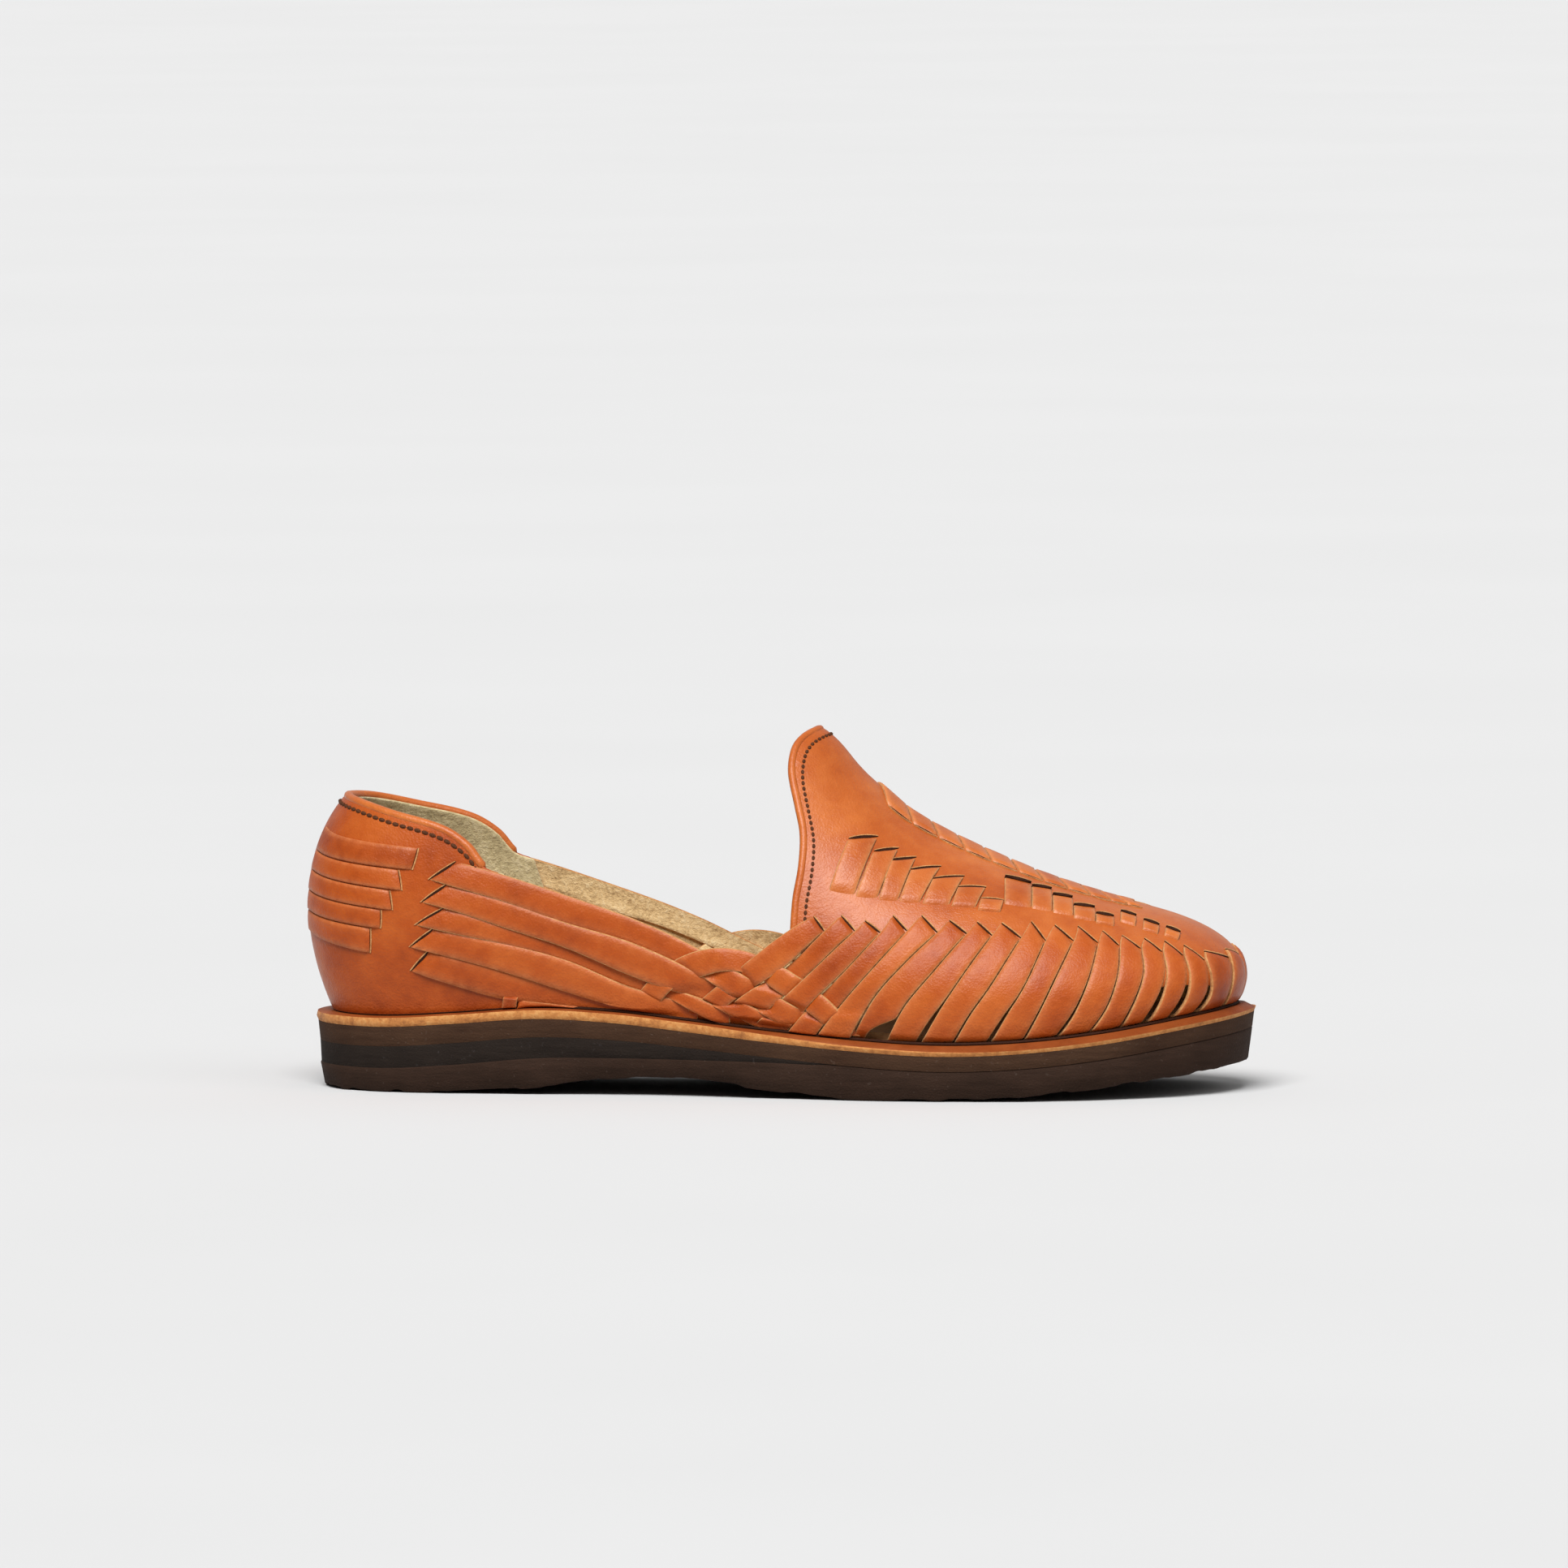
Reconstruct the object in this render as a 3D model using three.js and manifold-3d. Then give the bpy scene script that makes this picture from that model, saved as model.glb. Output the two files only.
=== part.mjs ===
// A woven leather loafer for the right foot, standing on its sole.
// Millimetres. +X runs from heel to toe, +Y to the inner (medial) side, +Z up.
import * as THREE from 'three';
import { mergeVertices } from 'three/addons/utils/BufferGeometryUtils.js';
import Module from 'manifold-3d';

const wasm = await Module();
wasm.setup();

// Driving dimensions
const SOLE_LENGTH = 292; // heel back to toe front
const WELT = 6; // how far the sole stands out past the upper
const WALL = 1.6; // thickness of the plain upper leather
const STRIP = 1.2; // how far a woven strip stands proud of that leather
const ROOT = 1.15; // how deep an overlay is rooted in the wall
const GAP = 0.3; // between curved pieces that meet
const LEATHER_MIDSOLE = 3; // the tan leather layer that shows as a welt
const INSOLE = 2.5; // leather footbed
const INSOLE_PLAY = 3.2; // footbed edge to the upper's foot line
const WEDGE_TIP = 0.7; // thickness of the heel wedge where it runs out
// How far each layer's foot stands in from the welt's edge.
const EDGE_IN = { leather: 0.4, cushion: 1, wedge: 1.9, tread: 3.5 };

// The sole seen from above. x follows a half cosine of u, so both ends come out round.
const PLAN = [
  { u: 0.0, axis: 0.0, half: 0.0 },
  { u: 0.1, axis: 0.0, half: 21.0 },
  { u: 0.2, axis: -0.5, half: 32.5 },
  { u: 0.3, axis: -1.0, half: 36.0 },
  { u: 0.4, axis: -3.0, half: 36.5 },
  { u: 0.5, axis: -4.5, half: 42.5 },
  { u: 0.6, axis: -3.8, half: 49.8 },
  { u: 0.7, axis: -1.8, half: 50.3 },
  { u: 0.8, axis: 1.3, half: 41.5 },
  { u: 0.9, axis: 4.0, half: 24.5 },
  { u: 1.0, axis: 6.0, half: 0.0 },
];

// The sole seen from the side: its top, its tread and the layers under the leather.
const SIDE = [
  { x: 0, top: 23.2, tread: 0.0, cushion: 5.8, wedge: 6.4 },
  { x: 25, top: 23.0, tread: 0.0, cushion: 5.8, wedge: 6.4 },
  { x: 48, top: 24.4, tread: 0.0, cushion: 5.7, wedge: 6.4 },
  { x: 74, top: 26.2, tread: 2.0, cushion: 5.4, wedge: 6.2 },
  { x: 99, top: 25.1, tread: 5.0, cushion: 5.0, wedge: 5.2 },
  { x: 122, top: 22.8, tread: 5.0, cushion: 4.6, wedge: 3.4 },
  { x: 148, top: 20.2, tread: 2.2, cushion: 4.4, wedge: 1.3 },
  { x: 174, top: 18.0, tread: 0.0, cushion: 4.4, wedge: 0.0 },
  { x: 200, top: 16.7, tread: 0.0, cushion: 4.4, wedge: 0.0 },
  { x: 225, top: 17.5, tread: 0.8, cushion: 4.4, wedge: 0.0 },
  { x: 250, top: 20.0, tread: 3.6, cushion: 4.4, wedge: 0.0 },
  { x: 273, top: 23.6, tread: 6.4, cushion: 4.4, wedge: 0.0 },
  { x: 292, top: 26.6, tread: 8.8, cushion: 4.4, wedge: 0.0 },
];

// The last, one row for each section from heel to toe: where the section meets the ridge,
// how far and how high its side bulges, and how flat it comes over the top.
const LAST = [
  { u: 0.0, ridgeX: 34, ridgeY: 0, ridgeZ: 104, out: 17, rise: 0.45, crown: 34, drop: 10 },
  { u: 0.1, ridgeX: 38, ridgeY: 0, ridgeZ: 106, out: 14, rise: 0.45, crown: 33, drop: 9 },
  { u: 0.2, ridgeX: 48, ridgeY: 0, ridgeZ: 110, out: 10, rise: 0.45, crown: 31, drop: 8 },
  { u: 0.3, ridgeX: 68, ridgeY: 0, ridgeZ: 114, out: 8, rise: 0.44, crown: 29, drop: 6 },
  { u: 0.4, ridgeX: 104, ridgeY: 0, ridgeZ: 118, out: 8, rise: 0.42, crown: 26, drop: 4 },
  { u: 0.5, ridgeX: 150, ridgeY: 1, ridgeZ: 114.5, out: 8, rise: 0.4, crown: 20, drop: 2 },
  { u: 0.55, ridgeX: 169, ridgeY: 2, ridgeZ: 99, out: 8.5, rise: 0.41, crown: 20, drop: 1.5 },
  { u: 0.6, ridgeX: 187, ridgeY: 3, ridgeZ: 83.6, out: 9, rise: 0.43, crown: 21, drop: 1.5 },
  { u: 0.7, ridgeX: 219, ridgeY: 4, ridgeZ: 68, out: 9.5, rise: 0.5, crown: 23, drop: 1.5 },
  { u: 0.8, ridgeX: 243, ridgeY: 5, ridgeZ: 59.6, out: 10, rise: 0.55, crown: 21, drop: 2 },
  { u: 0.9, ridgeX: 256, ridgeY: 6, ridgeZ: 56.4, out: 10, rise: 0.58, crown: 18, drop: 3.5 },
  { u: 1.0, ridgeX: 260, ridgeY: 6, ridgeZ: 55.2, out: 9, rise: 0.6, crown: 16, drop: 4.5 },
];

// The collar seen from the side, from the heel along the straps to the tongue's tip.
const HEEL_COLLAR = [
  { x: -20, z: 93 },
  { x: 10, z: 89.5 },
  { x: 28, z: 85.2 },
  { x: 44, z: 81 },
  { x: 52, z: 76 },
  { x: 57, z: 70 },
];
const STRAP_TOP = [
  { x: 68, z: 66.3 },
  { x: 88, z: 59.5 },
  { x: 110, z: 51 },
  { x: 128, z: 45 },
  { x: 143, z: 44.6 },
  { x: 151, z: 50 },
];
const TONGUE_EDGE = [
  { x: 153, z: 60 },
  { x: 155, z: 70 },
  { x: 155, z: 80 },
  { x: 152.6, z: 89 },
  { x: 150.2, z: 98 },
  { x: 150, z: 104 },
  { x: 151.5, z: 108.5 },
  { x: 156, z: 111.6 },
];
const CLEAR = 60; // how far the collar's cutter reaches to each side of the last
const OVER = 15; // and over the tongue's tip

// The weave. Strips come out of the vamp in a row at mid height and run down and back to the sole.
const SIDE_STRIPS = { count: 18, first: 0.553, last: 0.985, width: 6.4 };
const TOP_STRIPS = { count: 10, first: 0.566, last: 0.9, width: 5.2 };
const STRIP_ROWS = [
  { u: 0.5, outer: 0.36, band: 0.42, inner: 0.6, slant: 0.085 },
  { u: 0.6, outer: 0.4, band: 0.46, inner: 0.61, slant: 0.082 },
  { u: 0.7, outer: 0.47, band: 0.53, inner: 0.64, slant: 0.068 },
  { u: 0.85, outer: 0.52, band: 0.58, inner: 0.72, slant: 0.055 },
  { u: 1.0, outer: 0.52, band: 0.6, inner: 0.8, slant: 0.03 },
];
const INNER_LEAN = 0.016; // how far back a top strip leans, in u
// The open gaps between the strips round the toe.
const SLITS = { first: 10, width: 1.1, low: 0.22, high: 0.62 };
const CUT = 5; // how far a gap's cutter reaches past both faces of the wall
const STRIP_FOOT = 0.02; // where a side strip ends above the foot line, in h

// Quarter straps, each from its notch in the counter to the sole, as x and z in side view.
const STRAPS = [
  { fromX: 46, fromZ: 66, midX: 100, midZ: 49.5, toX: 158, toZ: 24, width: 8.2, lift: 1.0 },
  { fromX: 43, fromZ: 59, midX: 98, midZ: 43.5, toX: 146, toZ: 24, width: 7.6, lift: 1.7 },
  { fromX: 41, fromZ: 52, midX: 94, midZ: 38.5, toX: 134, toZ: 25, width: 7.4, lift: 1.0 },
  { fromX: 39, fromZ: 45, midX: 88, midZ: 34.5, toX: 124, toZ: 26, width: 7.2, lift: 1.7 },
  { fromX: 37, fromZ: 38, midX: 78, midZ: 30.5, toX: 106, toZ: 27.5, width: 6.8, lift: 1.0 },
];
const STRAP_GAPS = [
  { fromX: 74, fromZ: 46.8, toX: 112, toZ: 35.4, width: 1.6 },
  { fromX: 66, fromZ: 41.6, toX: 104, toZ: 32.2, width: 1.4 },
  { fromX: 62, fromZ: 35.6, toX: 92, toZ: 29.4, width: 1.2 },
];

// The heel counter: its front edge in side view, and the rungs woven through its back.
const COUNTER_FRONT = [
  { x: 58, z: 97 },
  { x: 50, z: 69 },
  { x: 44, z: 62 },
  { x: 41, z: 52 },
  { x: 38, z: 42 },
  { x: 52, z: 34 },
  { x: 84, z: 28 },
];
const RUNGS = [
  { z: 76, reach: 40 },
  { z: 69.4, reach: 37 },
  { z: 62.8, reach: 34 },
  { z: 56.2, reach: 31 },
  { z: 49.6, reach: 28 },
];
const RUNG = { fall: 5.5, width: 6, start: 0.04, lift: 2.2 };

// How finely the curved faces are cut into flats.
const SOLE_COLUMNS = 32;
const WEDGE_COLUMNS = 17; // the wedge ends on one of the sole's columns
const UNDERSIDE_COLUMNS = 24;
const SHELL = { columns: 22, rows: 7 };
const COUNTER_COLUMNS = 16;
const STEPS = { strip: 3, topStrip: 2, strap: 6, rung: 2, slit: 1, strapGap: 2 };

// A smooth curve through one column of a table, read at a place along its key column.
function read(table, key, column, at) {
  const last = table.length - 1;
  const slope = (i) => {
    const a = table[Math.max(i - 1, 0)];
    const b = table[Math.min(i + 1, last)];
    return (b[column] - a[column]) / (b[key] - a[key]);
  };
  let i = 0;
  while (i < last - 1 && at > table[i + 1][key]) i += 1;
  const [a, b] = [table[i], table[i + 1]];
  const span = b[key] - a[key];
  const t = Math.min(Math.max((at - a[key]) / span, 0), 1);
  const bend = (1 - t) * (1 - t) * t * span * slope(i) - t * t * (1 - t) * span * slope(i + 1);
  const ease = t * t * (3 - 2 * t);
  return a[column] + (b[column] - a[column]) * ease + bend;
}

const soleTop = (x) => read(SIDE, 'x', 'top', x);
const soleTread = (x) => Math.max(0, read(SIDE, 'x', 'tread', x));
const cushionDepth = (x) => read(SIDE, 'x', 'cushion', x);
const wedgeDepth = (x) => Math.max(WEDGE_TIP, read(SIDE, 'x', 'wedge', x));

// A point of the sole's outline, drawn in by inset; side is -1 outside, +1 inside.
function outline(side, u, inset) {
  const x = inset + (SOLE_LENGTH / 2 - inset) * (1 - Math.cos(Math.PI * u));
  const bow = Math.sin(Math.PI * u);
  const half = read(PLAN, 'u', 'half', u) - inset * bow * (2 - bow);
  return new THREE.Vector2(x, read(PLAN, 'u', 'axis', u) + side * half);
}

// A point of the last: u from heel to toe, h from the foot line (0) to the ridge (1).
function lastPoint(side, u, h) {
  if (u < 0) return lastPoint(-side, -u, h);
  if (u > 1) return lastPoint(-side, 2 - u, h);
  if (h > 1) return lastPoint(-side, u, 2 - h);
  const foot = outline(side, u, WELT);
  const footZ = soleTop(foot.x) + GAP;
  const row = (column) => read(LAST, 'u', column, u);
  const inward = new THREE.Vector2(row('ridgeX'), row('ridgeY')).sub(foot);
  const depth = inward.length();
  const height = row('ridgeZ') - footZ;
  const rise = 3 * (1 - h) * (1 - h) * h;
  const bend = 3 * (1 - h) * h * h;
  const end = h * h * h;
  const across = -rise * row('out') + bend * (depth - row('crown')) + end * depth;
  const up = rise * row('rise') * height + bend * (height - row('drop')) + end * height;
  foot.addScaledVector(inward, across / depth);
  return new THREE.Vector3(foot.x, foot.y, footZ + up);
}

const STEP = 1e-3; // the small change in u or h that a slope is taken over

// The outward normal of the last at (side, u, h).
function lastNormal(side, u, h) {
  const alongU = lastPoint(side, u + STEP, h).sub(lastPoint(side, u - STEP, h));
  const low = Math.max(h - STEP, 0);
  const alongH = lastPoint(side, u, h + STEP).sub(lastPoint(side, u, low));
  return alongU.cross(alongH).multiplyScalar(-side).normalize();
}

// A point that stands off the last by lift.
function offLast(side, u, h, lift) {
  return lastPoint(side, u, h).addScaledVector(lastNormal(side, u, h), lift);
}

// The (u, h) of the last that shows at x and z in side view, found by slopes from a first guess.
const GUESS = { u: 0.4, h: 0.3, turns: 40, pace: 0.7 };

function findOnSide(side, x, z) {
  let { u, h } = GUESS;
  for (let turn = 0; turn < GUESS.turns; turn += 1) {
    const p = lastPoint(side, u, h);
    const du = lastPoint(side, u + STEP, h).sub(p).divideScalar(STEP);
    const dh = lastPoint(side, u, h + STEP).sub(p).divideScalar(STEP);
    const det = du.x * dh.z - du.z * dh.x;
    u += (GUESS.pace * ((x - p.x) * dh.z - (z - p.z) * dh.x)) / det;
    h += (GUESS.pace * (du.x * (z - p.z) - du.z * (x - p.x))) / det;
    u = Math.min(Math.max(u, 0.01), 0.99);
    h = Math.min(Math.max(h, 0), 0.98);
  }
  return { u, h };
}

const SAME = 1e-4; // points closer than this are one point

// A solid from points and triangles, with shared points merged.
function solidOf(geometry) {
  for (const name of ['normal', 'uv']) geometry.deleteAttribute(name);
  const merged = mergeVertices(geometry, SAME);
  return new wasm.Manifold(new wasm.Mesh({
    numProp: 3,
    vertProperties: merged.attributes.position.array,
    triVerts: new Uint32Array(merged.index.array),
  }));
}

function geometryOf(points, triangles) {
  return new THREE.BufferGeometry().setFromPoints(points).setIndex(triangles);
}

// A closed block from a grid of columns and rows: outer(i, j) over inner(i, j).
function gridBlock(columns, rows, outer, inner) {
  const points = [];
  for (const face of [outer, inner]) {
    for (let i = 0; i <= columns; i += 1) {
      for (let j = 0; j <= rows; j += 1) points.push(face(i, j));
    }
  }
  const under = (columns + 1) * (rows + 1);
  const at = (i, j) => i * (rows + 1) + j;
  const triangles = [];
  const quad = (a, b, c, d) => triangles.push(a, b, c, a, c, d);
  for (let i = 0; i < columns; i += 1) {
    for (let j = 0; j < rows; j += 1) {
      const cell = [at(i, j), at(i + 1, j), at(i + 1, j + 1), at(i, j + 1)];
      quad(...cell);
      quad(...cell.map((k) => k + under).reverse());
    }
    quad(at(i + 1, 0), at(i, 0), at(i, 0) + under, at(i + 1, 0) + under);
    quad(at(i, rows), at(i + 1, rows), at(i + 1, rows) + under, at(i, rows) + under);
  }
  for (let j = 0; j < rows; j += 1) {
    quad(at(0, j), at(0, j + 1), at(0, j + 1) + under, at(0, j) + under);
    quad(at(columns, j + 1), at(columns, j), at(columns, j) + under, at(columns, j + 1) + under);
  }
  const made = solidOf(geometryOf(points, triangles));
  if (made.volume() > 0) return made;
  for (let k = 0; k < triangles.length; k += 3) {
    [triangles[k + 1], triangles[k + 2]] = [triangles[k + 2], triangles[k + 1]];
  }
  return solidOf(geometryOf(points, triangles));
}

// A sole layer from the heel on: its top and its foot each have an inset and a height.
function soleLayer(top, foot, columns = SOLE_COLUMNS, pitch = 1 / SOLE_COLUMNS) {
  const at = ({ inset, height }) => (i, j) => {
    const p = outline(j ? 1 : -1, i * pitch, inset);
    return new THREE.Vector3(p.x, p.y, height(p.x, i));
  };
  return gridBlock(columns, 1, at(top), at(foot));
}

// The whole last as a hollow shell, open underneath.
function lastShell() {
  const { columns, rows } = SHELL;
  const stations = [];
  for (let i = 0; i <= columns; i += 1) stations.push({ side: -1, u: i / columns });
  for (let i = columns - 1; i > 0; i -= 1) stations.push({ side: 1, u: i / columns });
  const points = [];
  for (const lift of [0, -WALL]) {
    for (const { side, u } of stations) {
      for (let j = 0; j <= rows; j += 1) {
        points.push(j === rows ? offLast(1, u, 1, lift) : offLast(side, u, j / rows, lift));
      }
    }
  }
  const around = stations.length;
  const under = around * (rows + 1);
  const at = (i, j) => (i % around) * (rows + 1) + j;
  const triangles = [];
  const quad = (a, b, c, d) => triangles.push(a, b, c, a, c, d);
  for (let i = 0; i < around; i += 1) {
    for (let j = 0; j < rows; j += 1) {
      const cell = [at(i, j), at(i + 1, j), at(i + 1, j + 1), at(i, j + 1)];
      quad(...cell);
      quad(...cell.map((k) => k + under).reverse());
    }
    quad(at(i + 1, 0), at(i, 0), at(i, 0) + under, at(i + 1, 0) + under);
  }
  return solidOf(dropFlat(geometryOf(points, triangles)));
}

// Leaves out the triangles that merging has closed to a line.
function dropFlat(geometry) {
  const merged = mergeVertices(geometry, SAME);
  const kept = [];
  for (let k = 0; k < merged.index.count; k += 3) {
    const [a, b, c] = [0, 1, 2].map((n) => merged.index.getX(k + n));
    if (a !== b && b !== c && c !== a) kept.push(a, b, c);
  }
  return merged.setIndex(kept);
}

// A strip of leather laid along a route on the last, from under the surface to its lift.
function ribbon(side, route, width, low, high) {
  const last = route.length - 1;
  const frame = route.map(({ u, h }, i) => {
    const before = route[Math.max(i - 1, 0)];
    const after = route[Math.min(i + 1, last)];
    const along = lastPoint(side, after.u, after.h).sub(lastPoint(side, before.u, before.h));
    const normal = lastNormal(side, u, h);
    return { point: lastPoint(side, u, h), normal, across: normal.clone().cross(along).normalize() };
  });
  const at = (lift) => (i, j) => {
    const { point, normal, across } = frame[i];
    return point.clone().addScaledVector(across, (j - 0.5) * width).addScaledVector(normal, lift);
  };
  return gridBlock(last, 1, at(high), at(low));
}

// Points along a straight run, or along one bent through a middle place.
function route(from, to, steps, middle = null) {
  const places = [];
  for (let i = 0; i <= steps; i += 1) {
    const t = i / steps;
    const mix = (key) => (middle
      ? (1 - t) * (1 - t) * from[key] + 2 * t * (1 - t) * middle[key] + t * t * to[key]
      : from[key] + (to[key] - from[key]) * t);
    places.push(Object.fromEntries(Object.keys(from).map((key) => [key, mix(key)])));
  }
  return places;
}

const weave = (column, u) => read(STRIP_ROWS, 'u', column, u);
const spread = ({ count, first, last }, i) => first + ((last - first) * i) / (count - 1);

// Where side strip i leaves the vamp and where it reaches the sole.
function sideStripEnds(i) {
  const u = spread(SIDE_STRIPS, i);
  return { top: { u, h: weave('outer', u) }, foot: { u: u - weave('slant', u), h: STRIP_FOOT } };
}

function sideStrips(side) {
  const made = [];
  for (let i = 0; i < SIDE_STRIPS.count; i += 1) {
    const { top, foot } = sideStripEnds(i);
    made.push(ribbon(side, route(top, foot, STEPS.strip), SIDE_STRIPS.width, -ROOT, STRIP));
  }
  return made;
}

function topStrips(side) {
  const made = [];
  for (let i = 0; i < TOP_STRIPS.count; i += 1) {
    const u = spread(TOP_STRIPS, i);
    const top = { u, h: weave('inner', u) };
    const foot = { u: u - INNER_LEAN, h: weave('band', u) };
    made.push(ribbon(side, route(top, foot, STEPS.topStrip), TOP_STRIPS.width, -ROOT, STRIP));
  }
  return made;
}

// Quarter straps are drawn in side view and laid on the last.
function straps(side) {
  return STRAPS.map((s) => {
    const middle = { x: s.midX, z: s.midZ };
    const run = route({ x: s.fromX, z: s.fromZ }, { x: s.toX, z: s.toZ }, STEPS.strap, middle);
    return ribbon(side, run.map(({ x, z }) => findOnSide(side, x, z)), s.width, -ROOT, s.lift);
  });
}

// The rungs woven through the back of the counter.
function rungs(side) {
  return RUNGS.map(({ z, reach }) => {
    const end = findOnSide(side, reach, z - RUNG.fall);
    const middle = findOnSide(side, reach / 2, z - RUNG.fall / 2);
    const back = { u: RUNG.start, h: middle.h + (middle.h - end.h) };
    return ribbon(side, [...route(back, middle, STEPS.rung), end], RUNG.width, 0, RUNG.lift);
  });
}

// The counter, a second layer of leather round the heel as far as its front edge.
function counter() {
  const edge = (side) => COUNTER_FRONT.map(({ x, z }) => findOnSide(side, x, z));
  const edges = { outside: edge(-1), inside: edge(1) };
  const at = (lift) => (i, j) => {
    const place = (2 * i) / COUNTER_COLUMNS - 1;
    const { u, h } = (place < 0 ? edges.outside : edges.inside)[j];
    return offLast(place < 0 ? -1 : 1, Math.abs(place) * u, h, lift);
  };
  return gridBlock(COUNTER_COLUMNS, COUNTER_FRONT.length - 1, at(STRIP), at(-ROOT));
}

// What the collar, the throat and the tongue's edge leave open.
function collarOpening() {
  const edge = [...HEEL_COLLAR, ...STRAP_TOP, ...TONGUE_EDGE];
  const heel = edge[0];
  const tip = edge.at(-1);
  const corners = [{ x: tip.x + OVER, z: tip.z + OVER }, { x: heel.x, z: tip.z + OVER }];
  const shape = new THREE.Shape([...edge, ...corners].map(({ x, z }) => new THREE.Vector2(x, z)));
  const cutter = new THREE.ExtrudeGeometry(shape, { depth: 2 * CLEAR, bevelEnabled: false });
  cutter.rotateX(Math.PI / 2).translate(0, CLEAR, 0);
  return solidOf(cutter);
}

// The open slits between side strips and between straps.
function weaveGaps(side) {
  const cut = [];
  for (let i = SLITS.first; i < SIDE_STRIPS.count; i += 1) {
    const [a, b] = [sideStripEnds(i - 1), sideStripEnds(i)];
    const between = (t) => ({
      u: ((1 - t) * (a.foot.u + b.foot.u) + t * (a.top.u + b.top.u)) / 2,
      h: (1 - t) * a.foot.h + (t * (a.top.h + b.top.h)) / 2,
    });
    const run = route(between(SLITS.low), between(SLITS.high), STEPS.slit);
    cut.push(ribbon(side, run, SLITS.width, -CUT, CUT));
  }
  for (const s of STRAP_GAPS) {
    const run = route({ x: s.fromX, z: s.fromZ }, { x: s.toX, z: s.toZ }, STEPS.strapGap);
    cut.push(ribbon(side, run.map(({ x, z }) => findOnSide(side, x, z)), s.width, -CUT, CUT));
  }
  return cut;
}

const join = (solids) => wasm.Manifold.union(solids);

// Everything below the top of the sole, so that no strip reaches into it.
function underside() {
  const top = { inset: -WELT, height: (x) => soleTop(x) + GAP / 2 };
  const foot = { inset: -WELT, height: () => -CLEAR };
  return soleLayer(top, foot, UNDERSIDE_COLUMNS, 1 / UNDERSIDE_COLUMNS);
}

// One hollow wall with the weave and the counter raised on it.
function upper() {
  const both = (make) => [...make(-1), ...make(1)];
  const raised = [counter(), ...both(sideStrips), ...both(topStrips), ...both(straps), ...both(rungs)];
  const open = [collarOpening(), ...both(weaveGaps), underside()];
  return join([lastShell(), ...raised]).subtract(join(open));
}

const leatherFoot = (x) => soleTop(x) - LEATHER_MIDSOLE;
const cushionFoot = (x) => leatherFoot(x) - GAP - cushionDepth(x);
const wedgeFoot = (x) => cushionFoot(x) - GAP - wedgeDepth(x);
const outsoleTop = (x, column) => (column > WEDGE_COLUMNS ? cushionFoot(x) : wedgeFoot(x)) - GAP;

// The sole's layers, each by the inset and the height of its top and of its foot.
function leatherMidsole() {
  return soleLayer({ inset: 0, height: soleTop }, { inset: EDGE_IN.leather, height: leatherFoot });
}

function cushionLayer() {
  const top = { inset: EDGE_IN.leather, height: (x) => leatherFoot(x) - GAP };
  return soleLayer(top, { inset: EDGE_IN.cushion, height: cushionFoot });
}

function heelWedge() {
  const top = { inset: EDGE_IN.cushion, height: (x) => cushionFoot(x) - GAP };
  return soleLayer(top, { inset: EDGE_IN.wedge, height: wedgeFoot }, WEDGE_COLUMNS);
}

function outsole() {
  const top = { inset: EDGE_IN.wedge, height: outsoleTop };
  return soleLayer(top, { inset: EDGE_IN.tread, height: soleTread });
}

function insole() {
  const inset = WELT + INSOLE_PLAY;
  const top = { inset, height: (x) => soleTop(x) + GAP + INSOLE };
  return soleLayer(top, { inset, height: (x) => soleTop(x) + GAP });
}

function material(color, roughness) {
  return new THREE.MeshStandardMaterial({ color, roughness, metalness: 0 });
}

const TAN = material('#b8541f', 0.45);
const RAW = material('#c08a52', 0.85);
const BROWN = material('#4a3830', 0.8);
const GREY = material('#2f2c2c', 0.85);
const DARK = material('#3a2e2a', 0.85);

function mesh(name, solid, finish) {
  const { vertProperties, triVerts } = solid.getMesh();
  const geometry = new THREE.BufferGeometry();
  geometry.setAttribute('position', new THREE.BufferAttribute(vertProperties, 3));
  geometry.setIndex(new THREE.BufferAttribute(triVerts, 1));
  geometry.computeVertexNormals();
  const made = new THREE.Mesh(geometry, finish);
  made.name = name;
  return made;
}

const shoe = new THREE.Group();
shoe.add(
  mesh('outsole', outsole(), DARK),
  mesh('heel_wedge', heelWedge(), GREY),
  mesh('cushion_layer', cushionLayer(), BROWN),
  mesh('leather_midsole', leatherMidsole(), RAW),
  mesh('insole', insole(), RAW),
  mesh('upper', upper(), TAN),
);

// The origin is under the middle of the shoe, on the floor.
const box = new THREE.Box3().setFromObject(shoe);
shoe.position.set(-(box.min.x + box.max.x) / 2, -(box.min.y + box.max.y) / 2, -box.min.z);

const loafer = new THREE.Group();
loafer.add(shoe);

export default loafer;
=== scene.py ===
"""A woven leather loafer for the right foot, dressed over its CAD frame.

Sizes are millimetres in the shoe's own coordinates: x from the back of the sole to the toe,
y to the inner side of the foot, z up from the floor.
"""

import logging
import math
from bisect import bisect_right
from dataclasses import dataclass
from enum import IntEnum
from functools import cache
from typing import Callable, NamedTuple, Sequence

import bpy
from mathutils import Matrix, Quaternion, Vector


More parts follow.
